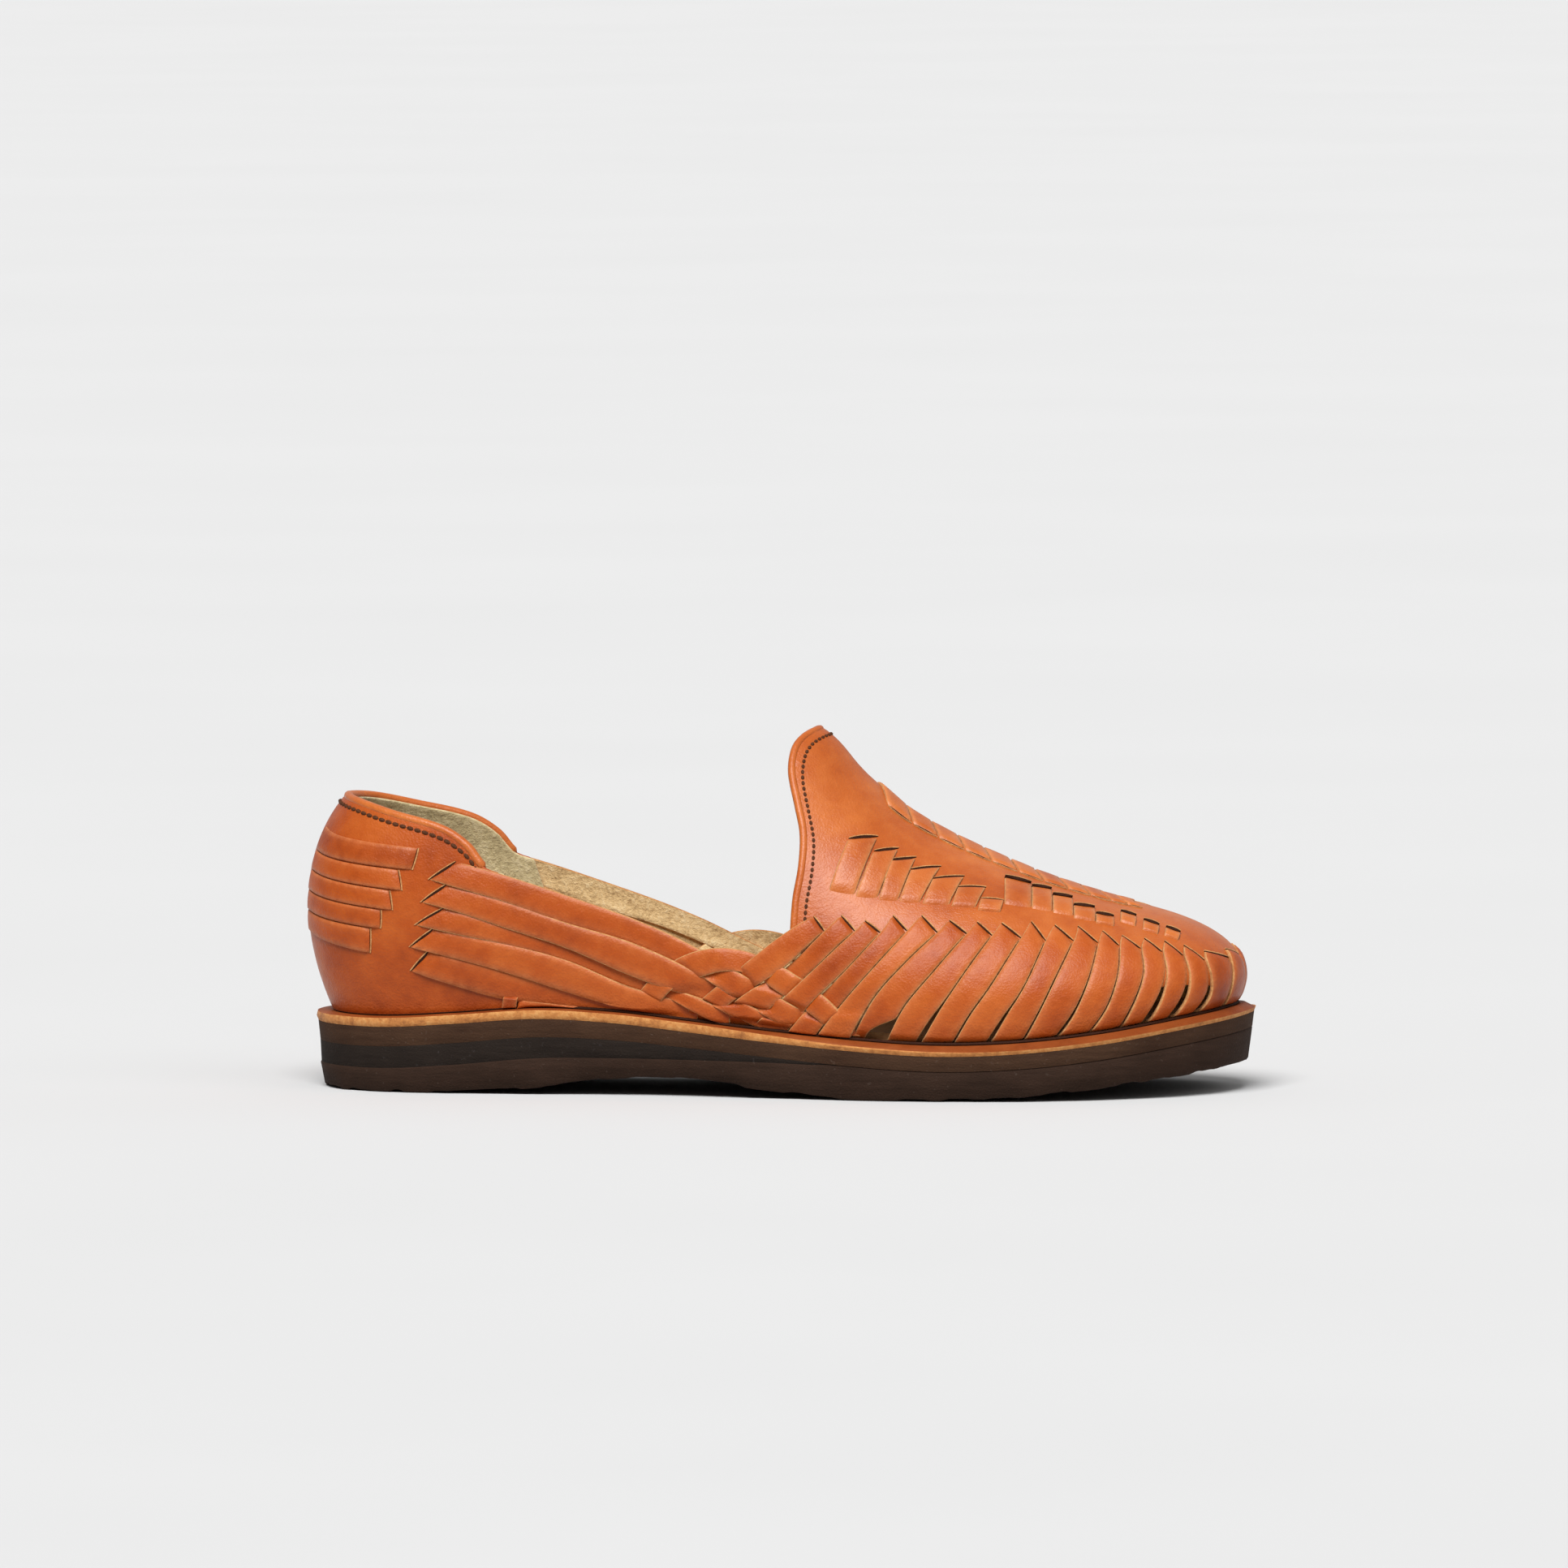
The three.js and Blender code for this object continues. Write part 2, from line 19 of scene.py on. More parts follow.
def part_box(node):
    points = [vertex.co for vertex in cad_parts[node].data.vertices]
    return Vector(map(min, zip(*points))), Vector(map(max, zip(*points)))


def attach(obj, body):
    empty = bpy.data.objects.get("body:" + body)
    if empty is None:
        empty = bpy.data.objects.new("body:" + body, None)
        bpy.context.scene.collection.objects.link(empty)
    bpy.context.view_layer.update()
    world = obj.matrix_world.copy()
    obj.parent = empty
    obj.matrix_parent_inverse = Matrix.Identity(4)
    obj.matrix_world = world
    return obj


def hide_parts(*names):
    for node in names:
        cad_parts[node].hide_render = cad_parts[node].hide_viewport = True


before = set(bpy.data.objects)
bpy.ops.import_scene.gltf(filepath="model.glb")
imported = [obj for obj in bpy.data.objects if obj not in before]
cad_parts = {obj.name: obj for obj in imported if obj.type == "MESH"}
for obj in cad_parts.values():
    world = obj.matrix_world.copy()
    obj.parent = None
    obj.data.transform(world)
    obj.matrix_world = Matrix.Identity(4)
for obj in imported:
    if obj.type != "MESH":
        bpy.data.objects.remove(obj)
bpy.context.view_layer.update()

LOG = logging.getLogger("loafer")
MM = 0.001
ROOT_BODY = "root"

Colour = tuple[float, float, float]
# Metres in the frame, from a share along a block, a share across it and a layer.
Place = Callable[[float, float, int], Vector]
# u and h on the last, from a share along a strip and a share across it.
Patch = Callable[[float, float], tuple[float, float]]
# How far off the last a strip stands, from a share along it.
Lift = Callable[[float], float]
# The tables' side view is taken a little from the front and from above.
VIEW_ACROSS = Vector((0.99, 0.139, 0.0))
VIEW_UP = Vector((0.0, 0.07, 1.0))
HALVINGS = 40


class Side(IntEnum):
    """The two sides of the shoe, by the sign of y."""

    OUTSIDE = -1
    INSIDE = 1


class Face(IntEnum):
    """Which material slot a face of a cut piece of leather takes."""

    GRAIN = 0
    FLESH = 1
    EDGE = 2


class PlanRow(NamedTuple):
    """The sole's outline from above: its axis and half width at u from heel to toe."""

    u: float
    axis: float
    half: float


class SoleRow(NamedTuple):
    """The sole from the side: its top, its tread and the layers under the leather."""

    x: float
    top: float
    tread: float
    cushion: float
    wedge: float


class LastRow(NamedTuple):
    """One section of the last: where it meets the ridge and how it bulges and crowns."""

    u: float
    ridge_x: float
    ridge_y: float
    ridge_z: float
    out: float
    rise: float
    crown: float
    drop: float


class Spot(NamedTuple):
    """A place in side view: x along the shoe and z up."""

    x: float
    z: float


class StripEdge(NamedTuple):
    """The line between two side strips, from its slit in the vamp down to the sole."""

    peak: Spot
    notch: Spot
    middle: Spot
    low: Spot
    foot: float


class ToeEdge(NamedTuple):
    """A line between two strips round the toe: u at its top and at the sole."""

    top: float
    foot: float


class StrapRow(NamedTuple):
    """Heights of the lines between the quarter straps at one place along the shoe."""

    x: float
    line_0: float
    line_1: float
    line_2: float
    line_3: float
    line_4: float
    line_5: float
    line_6: float


class Opening(NamedTuple):
    """The gap beside a side strip: its share of the strip's width, and where along it starts."""

    share: float
    start: float


class LoopRow(NamedTuple):
    """The outer and inner edge of the strap that rises from the sole and loops over the collar."""

    upper: Spot
    lower: Spot


class StrapEnds(NamedTuple):
    """Where a strap leaves the counter, at its upper and lower edge, and where it ends."""

    upper: float
    lower: float
    end: float


class Tab(NamedTuple):
    """A short strip on the vamp: the ends of its slit and of the line where it dives under."""

    slit_back: Spot
    slit_front: Spot
    foot_back: Spot
    foot_front: Spot


class CrestTab(NamedTuple):
    """A short strip on the inner side of the vamp's crest, by its two u."""

    back: float
    front: float


class RungEdge(NamedTuple):
    """A line between two rungs: its height at the back of the heel and its front end."""

    back_z: float
    front: Spot


class LayerEdge(NamedTuple):
    """An edge round a layer of the sole: how far in it lies, and its height at x."""

    inset: float
    height: Callable[[float], float]


class LiftMark(NamedTuple):
    """How far off the last a strip stands at a share along it."""

    along: float
    lift: float


class WeaveSide(NamedTuple):
    """How one side is woven: how far its openings gape and its seams stay open."""

    side: Side
    label: str
    slack: float
    seam: float


class Crossing(NamedTuple):
    """Where two strips cross: the share along each, and each one's length."""

    along_a: float
    along_b: float
    run_a: float
    run_b: float


class SunLight(NamedTuple):
    """A soft light: the way it shines, its strength and its width in degrees."""

    name: str
    towards: tuple[float, float, float]
    strength: float
    width: float


PLAN = (
    PlanRow(0.0, 0.0, 0.0),
    PlanRow(0.1, 0.0, 21.0),
    PlanRow(0.2, -0.5, 32.5),
    PlanRow(0.3, -1.0, 36.0),
    PlanRow(0.4, -3.0, 36.5),
    PlanRow(0.5, -4.5, 42.5),
    PlanRow(0.6, -3.8, 49.8),
    PlanRow(0.7, -1.8, 50.3),
    PlanRow(0.8, 1.3, 41.5),
    PlanRow(0.9, 4.0, 24.5),
    PlanRow(1.0, 6.0, 0.0),
)
SOLE = (
    SoleRow(0, 23.2, 0.0, 5.8, 6.4),
    SoleRow(25, 23.0, 0.0, 5.8, 6.4),
    SoleRow(48, 24.4, 0.0, 5.7, 6.4),
    SoleRow(74, 26.2, 2.0, 5.4, 6.2),
    SoleRow(99, 25.1, 5.0, 5.0, 5.2),
    SoleRow(122, 22.8, 5.0, 4.6, 3.4),
    SoleRow(148, 20.2, 2.2, 4.4, 1.3),
    SoleRow(174, 18.0, 0.0, 4.4, 0.0),
    SoleRow(200, 16.7, 0.0, 4.4, 0.0),
    SoleRow(225, 17.5, 0.8, 4.4, 0.0),
    SoleRow(250, 20.0, 3.6, 4.4, 0.0),
    SoleRow(273, 23.6, 6.4, 4.4, 0.0),
    SoleRow(292, 26.6, 8.8, 4.4, 0.0),
)
LAST = (
    LastRow(0.0, 34, 0, 104.0, 17.0, 0.45, 34, 10.0),
    LastRow(0.1, 38, 0, 106.0, 14.0, 0.45, 33, 9.0),
    LastRow(0.2, 48, 0, 110.0, 10.0, 0.45, 31, 8.0),
    LastRow(0.3, 68, 0, 114.0, 8.0, 0.44, 29, 6.0),
    LastRow(0.4, 104, 0, 118.0, 8.0, 0.42, 26, 4.0),
    LastRow(0.5, 150, 1, 114.5, 8.0, 0.4, 20, 2.0),
    LastRow(0.55, 169, 2, 99.0, 8.5, 0.41, 20, 1.5),
    LastRow(0.6, 187, 3, 83.6, 9.0, 0.43, 21, 1.5),
    LastRow(0.7, 219, 4, 68.0, 9.5, 0.5, 23, 1.5),
    LastRow(0.8, 243, 5, 59.6, 10.0, 0.55, 21, 2.0),
    LastRow(0.9, 256, 6, 56.4, 10.0, 0.58, 18, 3.5),
    LastRow(1.0, 260, 6, 55.2, 9.0, 0.6, 16, 4.5),
)
COLLAR = (
    Spot(-20, 93), Spot(10, 89.5), Spot(28, 85.2), Spot(44, 81), Spot(52, 76), Spot(57, 70),
    Spot(62, 68), Spot(70, 65.5), Spot(80, 62),
)
TONGUE = (
    Spot(154.6, 46), Spot(155, 60), Spot(156.3, 70), Spot(156.3, 80), Spot(154, 89),
    Spot(151.4, 98), Spot(151.2, 104), Spot(152.6, 107.6), Spot(155.4, 109.8), Spot(159, 110.8),
    Spot(165, 111.4),
)
STRIP_EDGES = (
    StripEdge(Spot(153.8, 52.8), Spot(146.0, 48.2), Spot(133.5, 38.8), Spot(122.5, 30.0), 112.0),
    StripEdge(Spot(162.2, 53.1), Spot(157.2, 48.2), Spot(145.0, 37.0), Spot(131.5, 28.2), 121.0),
    StripEdge(Spot(169.4, 51.5), Spot(166.6, 48.2), Spot(155.0, 37.5), Spot(144.8, 28.1), 134.0),
    StripEdge(Spot(178.0, 53.1), Spot(174.4, 47.7), Spot(165.0, 37.5), Spot(154.5, 27.4), 145.5),
    StripEdge(Spot(186.8, 53.1), Spot(182.6, 48.2), Spot(171.5, 36.2), Spot(162.5, 26.3), 154.5),
    StripEdge(Spot(195.3, 51.6), Spot(191.9, 47.7), Spot(181.9, 38.5), Spot(172.7, 28.6), 165.0),
    StripEdge(Spot(203.8, 51.1), Spot(200.9, 47.4), Spot(191.1, 36.5), Spot(181.5, 25.5), 175.5),
    StripEdge(Spot(211.3, 50.8), Spot(208.6, 46.9), Spot(199.2, 34.4), Spot(192.1, 24.2), 186.0),
    StripEdge(Spot(220.4, 51.3), Spot(217.4, 46.2), Spot(208.4, 32.4), Spot(201.5, 23.0), 196.0),
    StripEdge(Spot(227.6, 50.2), Spot(224.9, 45.4), Spot(218.6, 32.4), Spot(212.5, 22.8), 207.4),
    StripEdge(Spot(234.7, 49.9), Spot(233.4, 45.4), Spot(226.8, 32.4), Spot(221.8, 22.5), 217.6),
    StripEdge(Spot(242.3, 48.4), Spot(240.9, 44.8), Spot(238.0, 34.5), Spot(233.4, 23.8), 228.0),
    StripEdge(Spot(248.2, 47.0), Spot(247.4, 44.0), Spot(246.6, 35.0), Spot(243.2, 25.2), 237.6),
    StripEdge(Spot(255.1, 46.2), Spot(254.0, 43.1), Spot(254.6, 36.0), Spot(252.2, 28.0), 247.4),
    StripEdge(Spot(261.3, 45.4), Spot(260.6, 42.1), Spot(261.6, 35.5), Spot(259.8, 27.5), 255.6),
    StripEdge(Spot(267.2, 44.1), Spot(267.0, 41.0), Spot(268.6, 35.4), Spot(267.8, 28.6), 263.4),
    StripEdge(Spot(273.4, 42.3), Spot(273.6, 39.6), Spot(275.2, 34.6), Spot(275.0, 29.0), 271.0),
)
TOE_EDGES = (ToeEdge(0.957, 0.937), ToeEdge(1.0, 1.0))
SHUT = Opening(0.02, 0.4)
OPENINGS = (
    SHUT, SHUT, SHUT, SHUT, SHUT, Opening(0.62, 0.76),
    Opening(0.13, 0.45), SHUT, Opening(0.1, 0.4),
    Opening(0.03, 0.4), Opening(0.08, 0.35), Opening(0.03, 0.3),
    Opening(0.05, 0.3), Opening(0.24, 0.1), Opening(0.26, 0.0),
    Opening(0.24, -0.1), Opening(0.06, 0.2), SHUT,
)
WEAVE_SIDES = (
    WeaveSide(Side.OUTSIDE, "outer", slack=1.0, seam=0.03),
    WeaveSide(Side.INSIDE, "inner", slack=0.0, seam=0.005),
)
STRIP_LIFTS = (
    LiftMark(0.0, -0.5), LiftMark(0.03, 0.3), LiftMark(0.09, 1.6), LiftMark(0.2, 1.85),
    LiftMark(0.5, 1.7), LiftMark(0.8, 1.0), LiftMark(0.93, 0.75), LiftMark(1.0, -0.6),
)
STRAP_EDGES = (
    StrapRow(28.0, 73.5, 66.0, 58.2, 50.6, 43.5, 36.4, 36.0),
    StrapRow(43.9, 69.0, 61.4, 54.0, 47.1, 39.7, 31.4, 31.0),
    StrapRow(58.6, 65.0, 57.2, 49.3, 44.0, 35.8, 27.4, 24.6),
    StrapRow(78.0, 58.8, 50.4, 43.0, 38.8, 29.8, 25.0, 23.0),
    StrapRow(96.0, 52.6, 45.1, 35.6, 31.2, 24.4, 23.2, 21.6),
    StrapRow(110.0, 46.7, 39.3, 30.4, 27.0, 20.8, 20.2, 19.6),
    StrapRow(120.6, 41.2, 33.9, 26.8, 22.0, 17.6, 17.3, 17.0),
    StrapRow(131.0, 35.4, 27.5, 21.4, 17.8, 15.0, 14.8, 14.6),
    StrapRow(143.0, 28.2, 20.6, 15.0, 13.6, 12.4, 12.2, 12.0),
    StrapRow(156.0, 20.4, 13.0, 9.0, 8.5, 8.0, 7.8, 7.6),
)
COLLAR_LOOP = (
    LoopRow(Spot(95.8, 22.6), Spot(102.8, 21.6)),
    LoopRow(Spot(99.7, 28.4), Spot(106.2, 25.4)),
    LoopRow(Spot(103.4, 33.0), Spot(110.4, 30.0)),
    LoopRow(Spot(108.0, 37.0), Spot(115.6, 32.6)),
    LoopRow(Spot(113.4, 40.2), Spot(120.8, 34.4)),
    LoopRow(Spot(119.6, 42.3), Spot(125.4, 35.6)),
    LoopRow(Spot(126.5, 42.9), Spot(129.8, 35.8)),
    LoopRow(Spot(133.2, 41.9), Spot(134.0, 34.8)),
    LoopRow(Spot(139.8, 39.3), Spot(138.2, 32.8)),
    LoopRow(Spot(146.4, 36.0), Spot(142.2, 30.2)),
    LoopRow(Spot(153.6, 31.0), Spot(149.4, 25.6)),
    LoopRow(Spot(160.6, 25.0), Spot(156.2, 20.6)),
    LoopRow(Spot(168.0, 16.0), Spot(161.0, 16.0)),
)
LOOP_LIFTS = (LiftMark(0.0, 0.0), LiftMark(0.06, 0.6), LiftMark(0.45, 1.9), LiftMark(1.0, 0.35))
STRAP_LIFTS = (LiftMark(0.0, 1.0), LiftMark(0.02, 1.6), LiftMark(0.08, 2.0), LiftMark(1.0, 0.35))
STRAPS = (
    StrapEnds(43.9, 36.0, 154.0),
    StrapEnds(41.3, 33.6, 146.0),
    StrapEnds(40.5, 31.8, 128.0),
    StrapEnds(37.1, 30.0, 118.0),
    StrapEnds(35.5, 30.2, 106.0),
    StrapEnds(62.6, 62.6, 97.0),
)
TAIL_LOOP = Tab(Spot(58.6, 28.2), Spot(62.9, 27.9), Spot(58.0, 22.4), Spot(62.3, 22.4))
TAIL_LIFTS = (LiftMark(0.0, 0.9), LiftMark(0.2, 2.7), LiftMark(0.8, 2.7), LiftMark(1.0, 0.9))
TABS = (
    Tab(Spot(164.6, 76.6), Spot(173.6, 77.2), Spot(158.2, 59.6), Spot(166.0, 58.0)),
    Tab(Spot(172.4, 72.8), Spot(180.0, 73.6), Spot(166.3, 57.8), Spot(173.0, 57.2)),
    Tab(Spot(177.6, 70.2), Spot(185.4, 70.8), Spot(173.6, 57.0), Spot(179.3, 56.6)),
    Tab(Spot(183.8, 67.2), Spot(193.0, 68.0), Spot(179.8, 56.6), Spot(186.0, 56.2)),
    Tab(Spot(190.6, 64.4), Spot(200.2, 65.0), Spot(187.0, 56.0), Spot(195.0, 55.6)),
    Tab(Spot(198.3, 61.8), Spot(206.8, 61.6), Spot(196.0, 55.4), Spot(203.2, 55.0)),
    Tab(Spot(205.3, 58.2), Spot(212.2, 57.6), Spot(204.2, 54.4), Spot(211.0, 53.8)),
    Tab(Spot(212.6, 64.6), Spot(220.7, 62.6), Spot(212.4, 56.0), Spot(220.6, 55.0)),
    Tab(Spot(220.9, 61.8), Spot(227.0, 60.8), Spot(220.8, 54.8), Spot(227.0, 53.8)),
    Tab(Spot(227.3, 59.2), Spot(233.4, 58.2), Spot(227.3, 53.6), Spot(233.5, 52.6)),
    Tab(Spot(233.7, 56.0), Spot(240.2, 55.2), Spot(233.7, 52.0), Spot(240.3, 51.0)),
    Tab(Spot(240.5, 53.4), Spot(246.0, 52.4), Spot(240.5, 50.6), Spot(246.0, 49.6)),
    Tab(Spot(248.2, 54.0), Spot(253.0, 52.6), Spot(248.0, 51.0), Spot(252.6, 49.6)),
    Tab(Spot(255.2, 51.4), Spot(260.0, 49.8), Spot(254.8, 48.6), Spot(259.4, 47.2)),
    Tab(Spot(262.0, 49.2), Spot(266.4, 47.6), Spot(261.4, 46.8), Spot(265.6, 45.4)),
)
TAB_LIFTS = (
    LiftMark(0.0, -0.2), LiftMark(0.08, 1.1), LiftMark(0.5, 1.4), LiftMark(0.85, 1.1),
    LiftMark(1.0, -0.1),
)
CREST_TABS = (
    CrestTab(0.578, 0.598), CrestTab(0.6, 0.621), CrestTab(0.623, 0.645), CrestTab(0.647, 0.67),
    CrestTab(0.672, 0.696), CrestTab(0.699, 0.723), CrestTab(0.726, 0.751), CrestTab(0.754, 0.78),
    CrestTab(0.783, 0.81), CrestTab(0.813, 0.84), CrestTab(0.843, 0.87),
)
RUNG_EDGES = (
    RungEdge(80.3, Spot(32.3, 73.2)),
    RungEdge(73.2, Spot(30.2, 66.1)),
    RungEdge(67.4, Spot(27.1, 59.8)),
    RungEdge(61.2, Spot(24.2, 53.8)),
    RungEdge(55.1, Spot(20.5, 48.2)),
    RungEdge(48.8, Spot(17.3, 40.6)),
)
RUNG_LIFTS = (LiftMark(0.0, 0.7), LiftMark(0.1, 1.75), LiftMark(0.93, 1.9), LiftMark(1.0, 1.35))
SUNS = (
    SunLight("key", (0.07, 0.84, -1.22), strength=4.15, width=36),
    SunLight("side", (-0.9, 0.6, -0.8), strength=0.5, width=50),
)


def ease(t: float) -> float:
    """A step from 0 to 1 with soft ends."""
    t = min(max(t, 0.0), 1.0)
    return t * t * (3 - 2 * t)


def scatter(number: float) -> float:
    """A fixed, uneven value from 0 to 1 for any number."""
    return math.sin(number * 12.9898 + 4.1414) * 43758.5453 % 1.0


def half_cosine(t: float) -> float:
    """A share from 0 to 1 that moves slowly at both ends."""
    return (1 - math.cos(math.pi * t)) / 2


def part_way(a: Sequence[float], b: Sequence[float], share: float) -> tuple[float, float]:
    """The pair of numbers that lies a share of the way from one pair to another."""
    return a[0] + (b[0] - a[0]) * share, a[1] + (b[1] - a[1]) * share


def end_of_run(low: float, high: float, holds: Callable[[float], bool]) -> float:
    """Finds where a test stops holding, by halving.

    Args:
        low: A number for which the test holds.
        high: A number for which it doesn't.
        holds: The test.

    Returns:
        The last number found for which it holds.
    """
    for _ in range(HALVINGS):
        middle = (low + high) / 2
        if holds(middle):
            low = middle
        else:
            high = middle
    return low


class SmoothTable:
    """Smooth curves through the columns of a table, keyed by its first column."""

    def __init__(self, rows: Sequence[Sequence[float]]) -> None:
        """Works out the slope of every column at every row.

        Args:
            rows: The table, in order of its first column.
        """
        self.keys = [row[0] for row in rows]
        self.rows = [tuple(row[1:]) for row in rows]
        last = len(rows) - 1
        self.slopes = []
        for i in range(len(rows)):
            a, b = max(i - 1, 0), min(i + 1, last)
            run = self.keys[b] - self.keys[a]
            self.slopes.append([(q - p) / run for p, q in zip(self.rows[a], self.rows[b])])

    def at(self, key: float) -> list[float]:
        """Reads all columns at a key.

        Args:
            key: A place along the first column.

        Returns:
            The other columns' values there.
        """
        i = min(max(bisect_right(self.keys, key) - 1, 0), len(self.keys) - 2)
        span = self.keys[i + 1] - self.keys[i]
        t = min(max((key - self.keys[i]) / span, 0.0), 1.0)
        blend = ease(t)
        start = (1 - t) * (1 - t) * t * span
        end = -t * t * (1 - t) * span
        rows, slopes = self.rows, self.slopes
        return [
            a + (b - a) * blend + start * p + end * q
            for a, b, p, q in zip(rows[i], rows[i + 1], slopes[i], slopes[i + 1])
        ]


@dataclass
class Last:
    """The foot shape that every piece of the upper is laid on, and the sole under it."""

    length: float = 292.0
    welt: float = 6.0
    gap: float = 0.3
    leather: float = 3.0
    step: float = 1e-3
    outline_steps: int = 64
    foot_steps: int = 300
    first_h: float = 0.35
    turns: int = 50
    careful_turns: int = 12
    u_range: tuple[float, float] = (0.004, 0.996)
    h_range: tuple[float, float] = (0.0, 0.985)

    def __post_init__(self) -> None:
        """Prepares the tables and the shift from shoe coordinates to the frame."""
        self.plan = SmoothTable(PLAN)
        self.side = SmoothTable(SOLE)
        self.sections = SmoothTable(LAST)
        low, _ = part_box("leather_midsole")
        shares = [i / self.outline_steps for i in range(self.outline_steps + 1)]
        reach = min(self.outline(Side.OUTSIDE, share, 0).y for share in shares)
        self.shift = Vector((low.x / MM, low.y / MM - reach, 0))
        shares = [i / self.foot_steps for i in range(self.foot_steps + 1)]
        feet = [self.seen(self.point(Side.OUTSIDE, share, 0.0)) for share in shares]
        self.foot_keys = [foot.x for foot in feet]
        self.foot_marks = [(share, foot.z) for share, foot in zip(shares, feet)]

    def world(self, point: Vector) -> Vector:
        """Turns a point in shoe millimetres into metres of the frame."""
        return (point + self.shift) * MM

    def sole_top(self, x: float) -> float:
        """Height of the sole's top at x."""
        return self.side.at(x)[0]

    def tread(self, x: float) -> float:
        """Height of the tread at x."""
        return max(0.0, self.side.at(x)[1])

    def leather_foot(self, x: float) -> float:
        """Height of the underside of the leather midsole at x."""
        return self.sole_top(x) - self.leather

    def cushion_foot(self, x: float) -> float:
        """Height of the underside of the cushion layer at x."""
        return self.leather_foot(x) - self.gap - self.side.at(x)[2]

    def wedge_foot(self, x: float) -> float:
        """Height of the underside of the heel wedge at x."""
        return self.cushion_foot(x) - self.gap - max(0.0, self.side.at(x)[3])

    def outline(self, side: int, u: float, inset: float) -> Vector:
        """A point of the sole's outline.

        Args:
            side: -1 outside, +1 inside.
            u: From heel (0) to toe (1).
            inset: How far the outline is drawn in.

        Returns:
            The point, with z 0.
        """
        axis, half = self.plan.at(u)
        x = inset + (self.length / 2 - inset) * (1 - math.cos(math.pi * u))
        bow = math.sin(math.pi * u)
        return Vector((x, axis + side * (half - inset * bow * (2 - bow)), 0))

    def across(self, u: float, inset: float, share: float) -> Vector:
        """A point a share of the way across the sole, from outside to inside, with z 0."""
        outside, inside = (self.outline(side, u, inset) for side in Side)
        return outside.lerp(inside, share)

    def point(self, side: int, u: float, h: float) -> Vector:
        """A point of the last.

        Args:
            side: -1 outside, +1 inside.
            u: From heel (0) to toe (1).
            h: From the foot line (0) to the ridge (1).

        Returns:
            The point in shoe millimetres.
        """
        if u < 0:
            return self.point(-side, -u, h)
        if u > 1:
            return self.point(-side, 2 - u, h)
        if h > 1:
            return self.point(-side, u, 2 - h)
        ridge_x, ridge_y, ridge_z, out, lift, crown, drop = self.sections.at(u)
        foot = self.outline(side, u, self.welt)
        foot_z = self.sole_top(foot.x) + self.gap
        inward = Vector((ridge_x, ridge_y, 0)) - foot
        depth = inward.length
        height = ridge_z - foot_z
        rise = 3 * (1 - h) * (1 - h) * h
        bend = 3 * (1 - h) * h * h
        end = h * h * h
        across = -rise * out + bend * (depth - crown) + end * depth
        up = rise * lift * height + bend * (height - drop) + end * height
        spot = foot + inward * (across / depth)
        return Vector((spot.x, spot.y, foot_z + up))

    def normal(self, side: int, u: float, h: float) -> Vector:
        """The outward normal of the last.

        Args:
            side: -1 outside, +1 inside.
            u: From heel (0) to toe (1).
            h: From the foot line (0) to the ridge (1).

        Returns:
            The normal, of length 1.
        """
        step = self.step
        along = self.point(side, u + step, h) - self.point(side, u - step, h)
        up = self.point(side, u, h + step) - self.point(side, u, max(h - step, 0.0))
        return (along.cross(up) * -side).normalized()

    def lifted(self, side: int, u: float, h: float, lift: float) -> Vector:
        """A point that stands off the last by lift."""
        return self.point(side, u, h) + self.normal(side, u, h) * lift

    @staticmethod
    def seen(point: Vector) -> Spot:
        """Where a point shows in a side view taken a little from the front and from above."""
        return Spot(point.dot(VIEW_ACROSS), point.dot(VIEW_UP))

    def foot_mark(self, x: float) -> tuple[float, float]:
        """Finds the foot line's outer side in side view.

        Args:
            x: A place along the side view.

        Returns:
            u of the foot line where it shows at x, and the height it shows at.
        """
        i = min(max(bisect_right(self.foot_keys, x) - 1, 0), len(self.foot_keys) - 2)
        share = (x - self.foot_keys[i]) / (self.foot_keys[i + 1] - self.foot_keys[i])
        share = min(max(share, 0.0), 1.0)
        return part_way(self.foot_marks[i], self.foot_marks[i + 1], share)

    def find(self, spot: Spot) -> tuple[float, float]:
        """Finds the place of the last's outer side that shows at a spot in side view.

        Args:
            spot: The place in side view.

        Returns:
            u and h of that place.
        """
        u, foot = self.foot_mark(spot.x)
        if spot.z <= foot:
            return u, 0.0
        h = self.first_h
        close, level = 1e-3, 1e-6
        for turn in range(self.turns):
            here = self.point(Side.OUTSIDE, u, h)
            seen = self.seen(here)
            off_x, off_z = spot.x - seen.x, spot.z - seen.z
            if abs(off_x) + abs(off_z) < close:
                break
            du = self.seen((self.point(Side.OUTSIDE, u + self.step, h) - here) / self.step)
            dh = self.seen((self.point(Side.OUTSIDE, u, h + self.step) - here) / self.step)
            det = du.x * dh.z - du.z * dh.x
            if abs(det) < level:
                break
            pace = 0.6 if turn < self.careful_turns else 0.9
            u += pace * (off_x * dh.z - off_z * dh.x) / det
            h += pace * (du.x * off_z - du.z * off_x) / det
            u = min(max(u, self.u_range[0]), self.u_range[1])
            h = min(max(h, self.h_range[0]), self.h_range[1])
        return u, h


class Line:
    """A smooth line on one side of the last, through places given as u and h."""

    def __init__(self, places: Sequence[tuple[float, float]]) -> None:
        """Takes the places that the line goes through."""
        rows = [(i / (len(places) - 1), *place) for i, place in enumerate(places)]
        self.table = SmoothTable(rows)

    def at(self, t: float) -> tuple[float, float]:
        """Reads a place of the line, which runs straight on before its start.

        Args:
            t: The share along the line.

        Returns:
            u and h there.
        """
        near = 0.05
        if t < 0:
            return part_way(self.table.at(0.0), self.table.at(near), t / near)
        u, h = self.table.at(t)
        return u, max(h, 0.0)


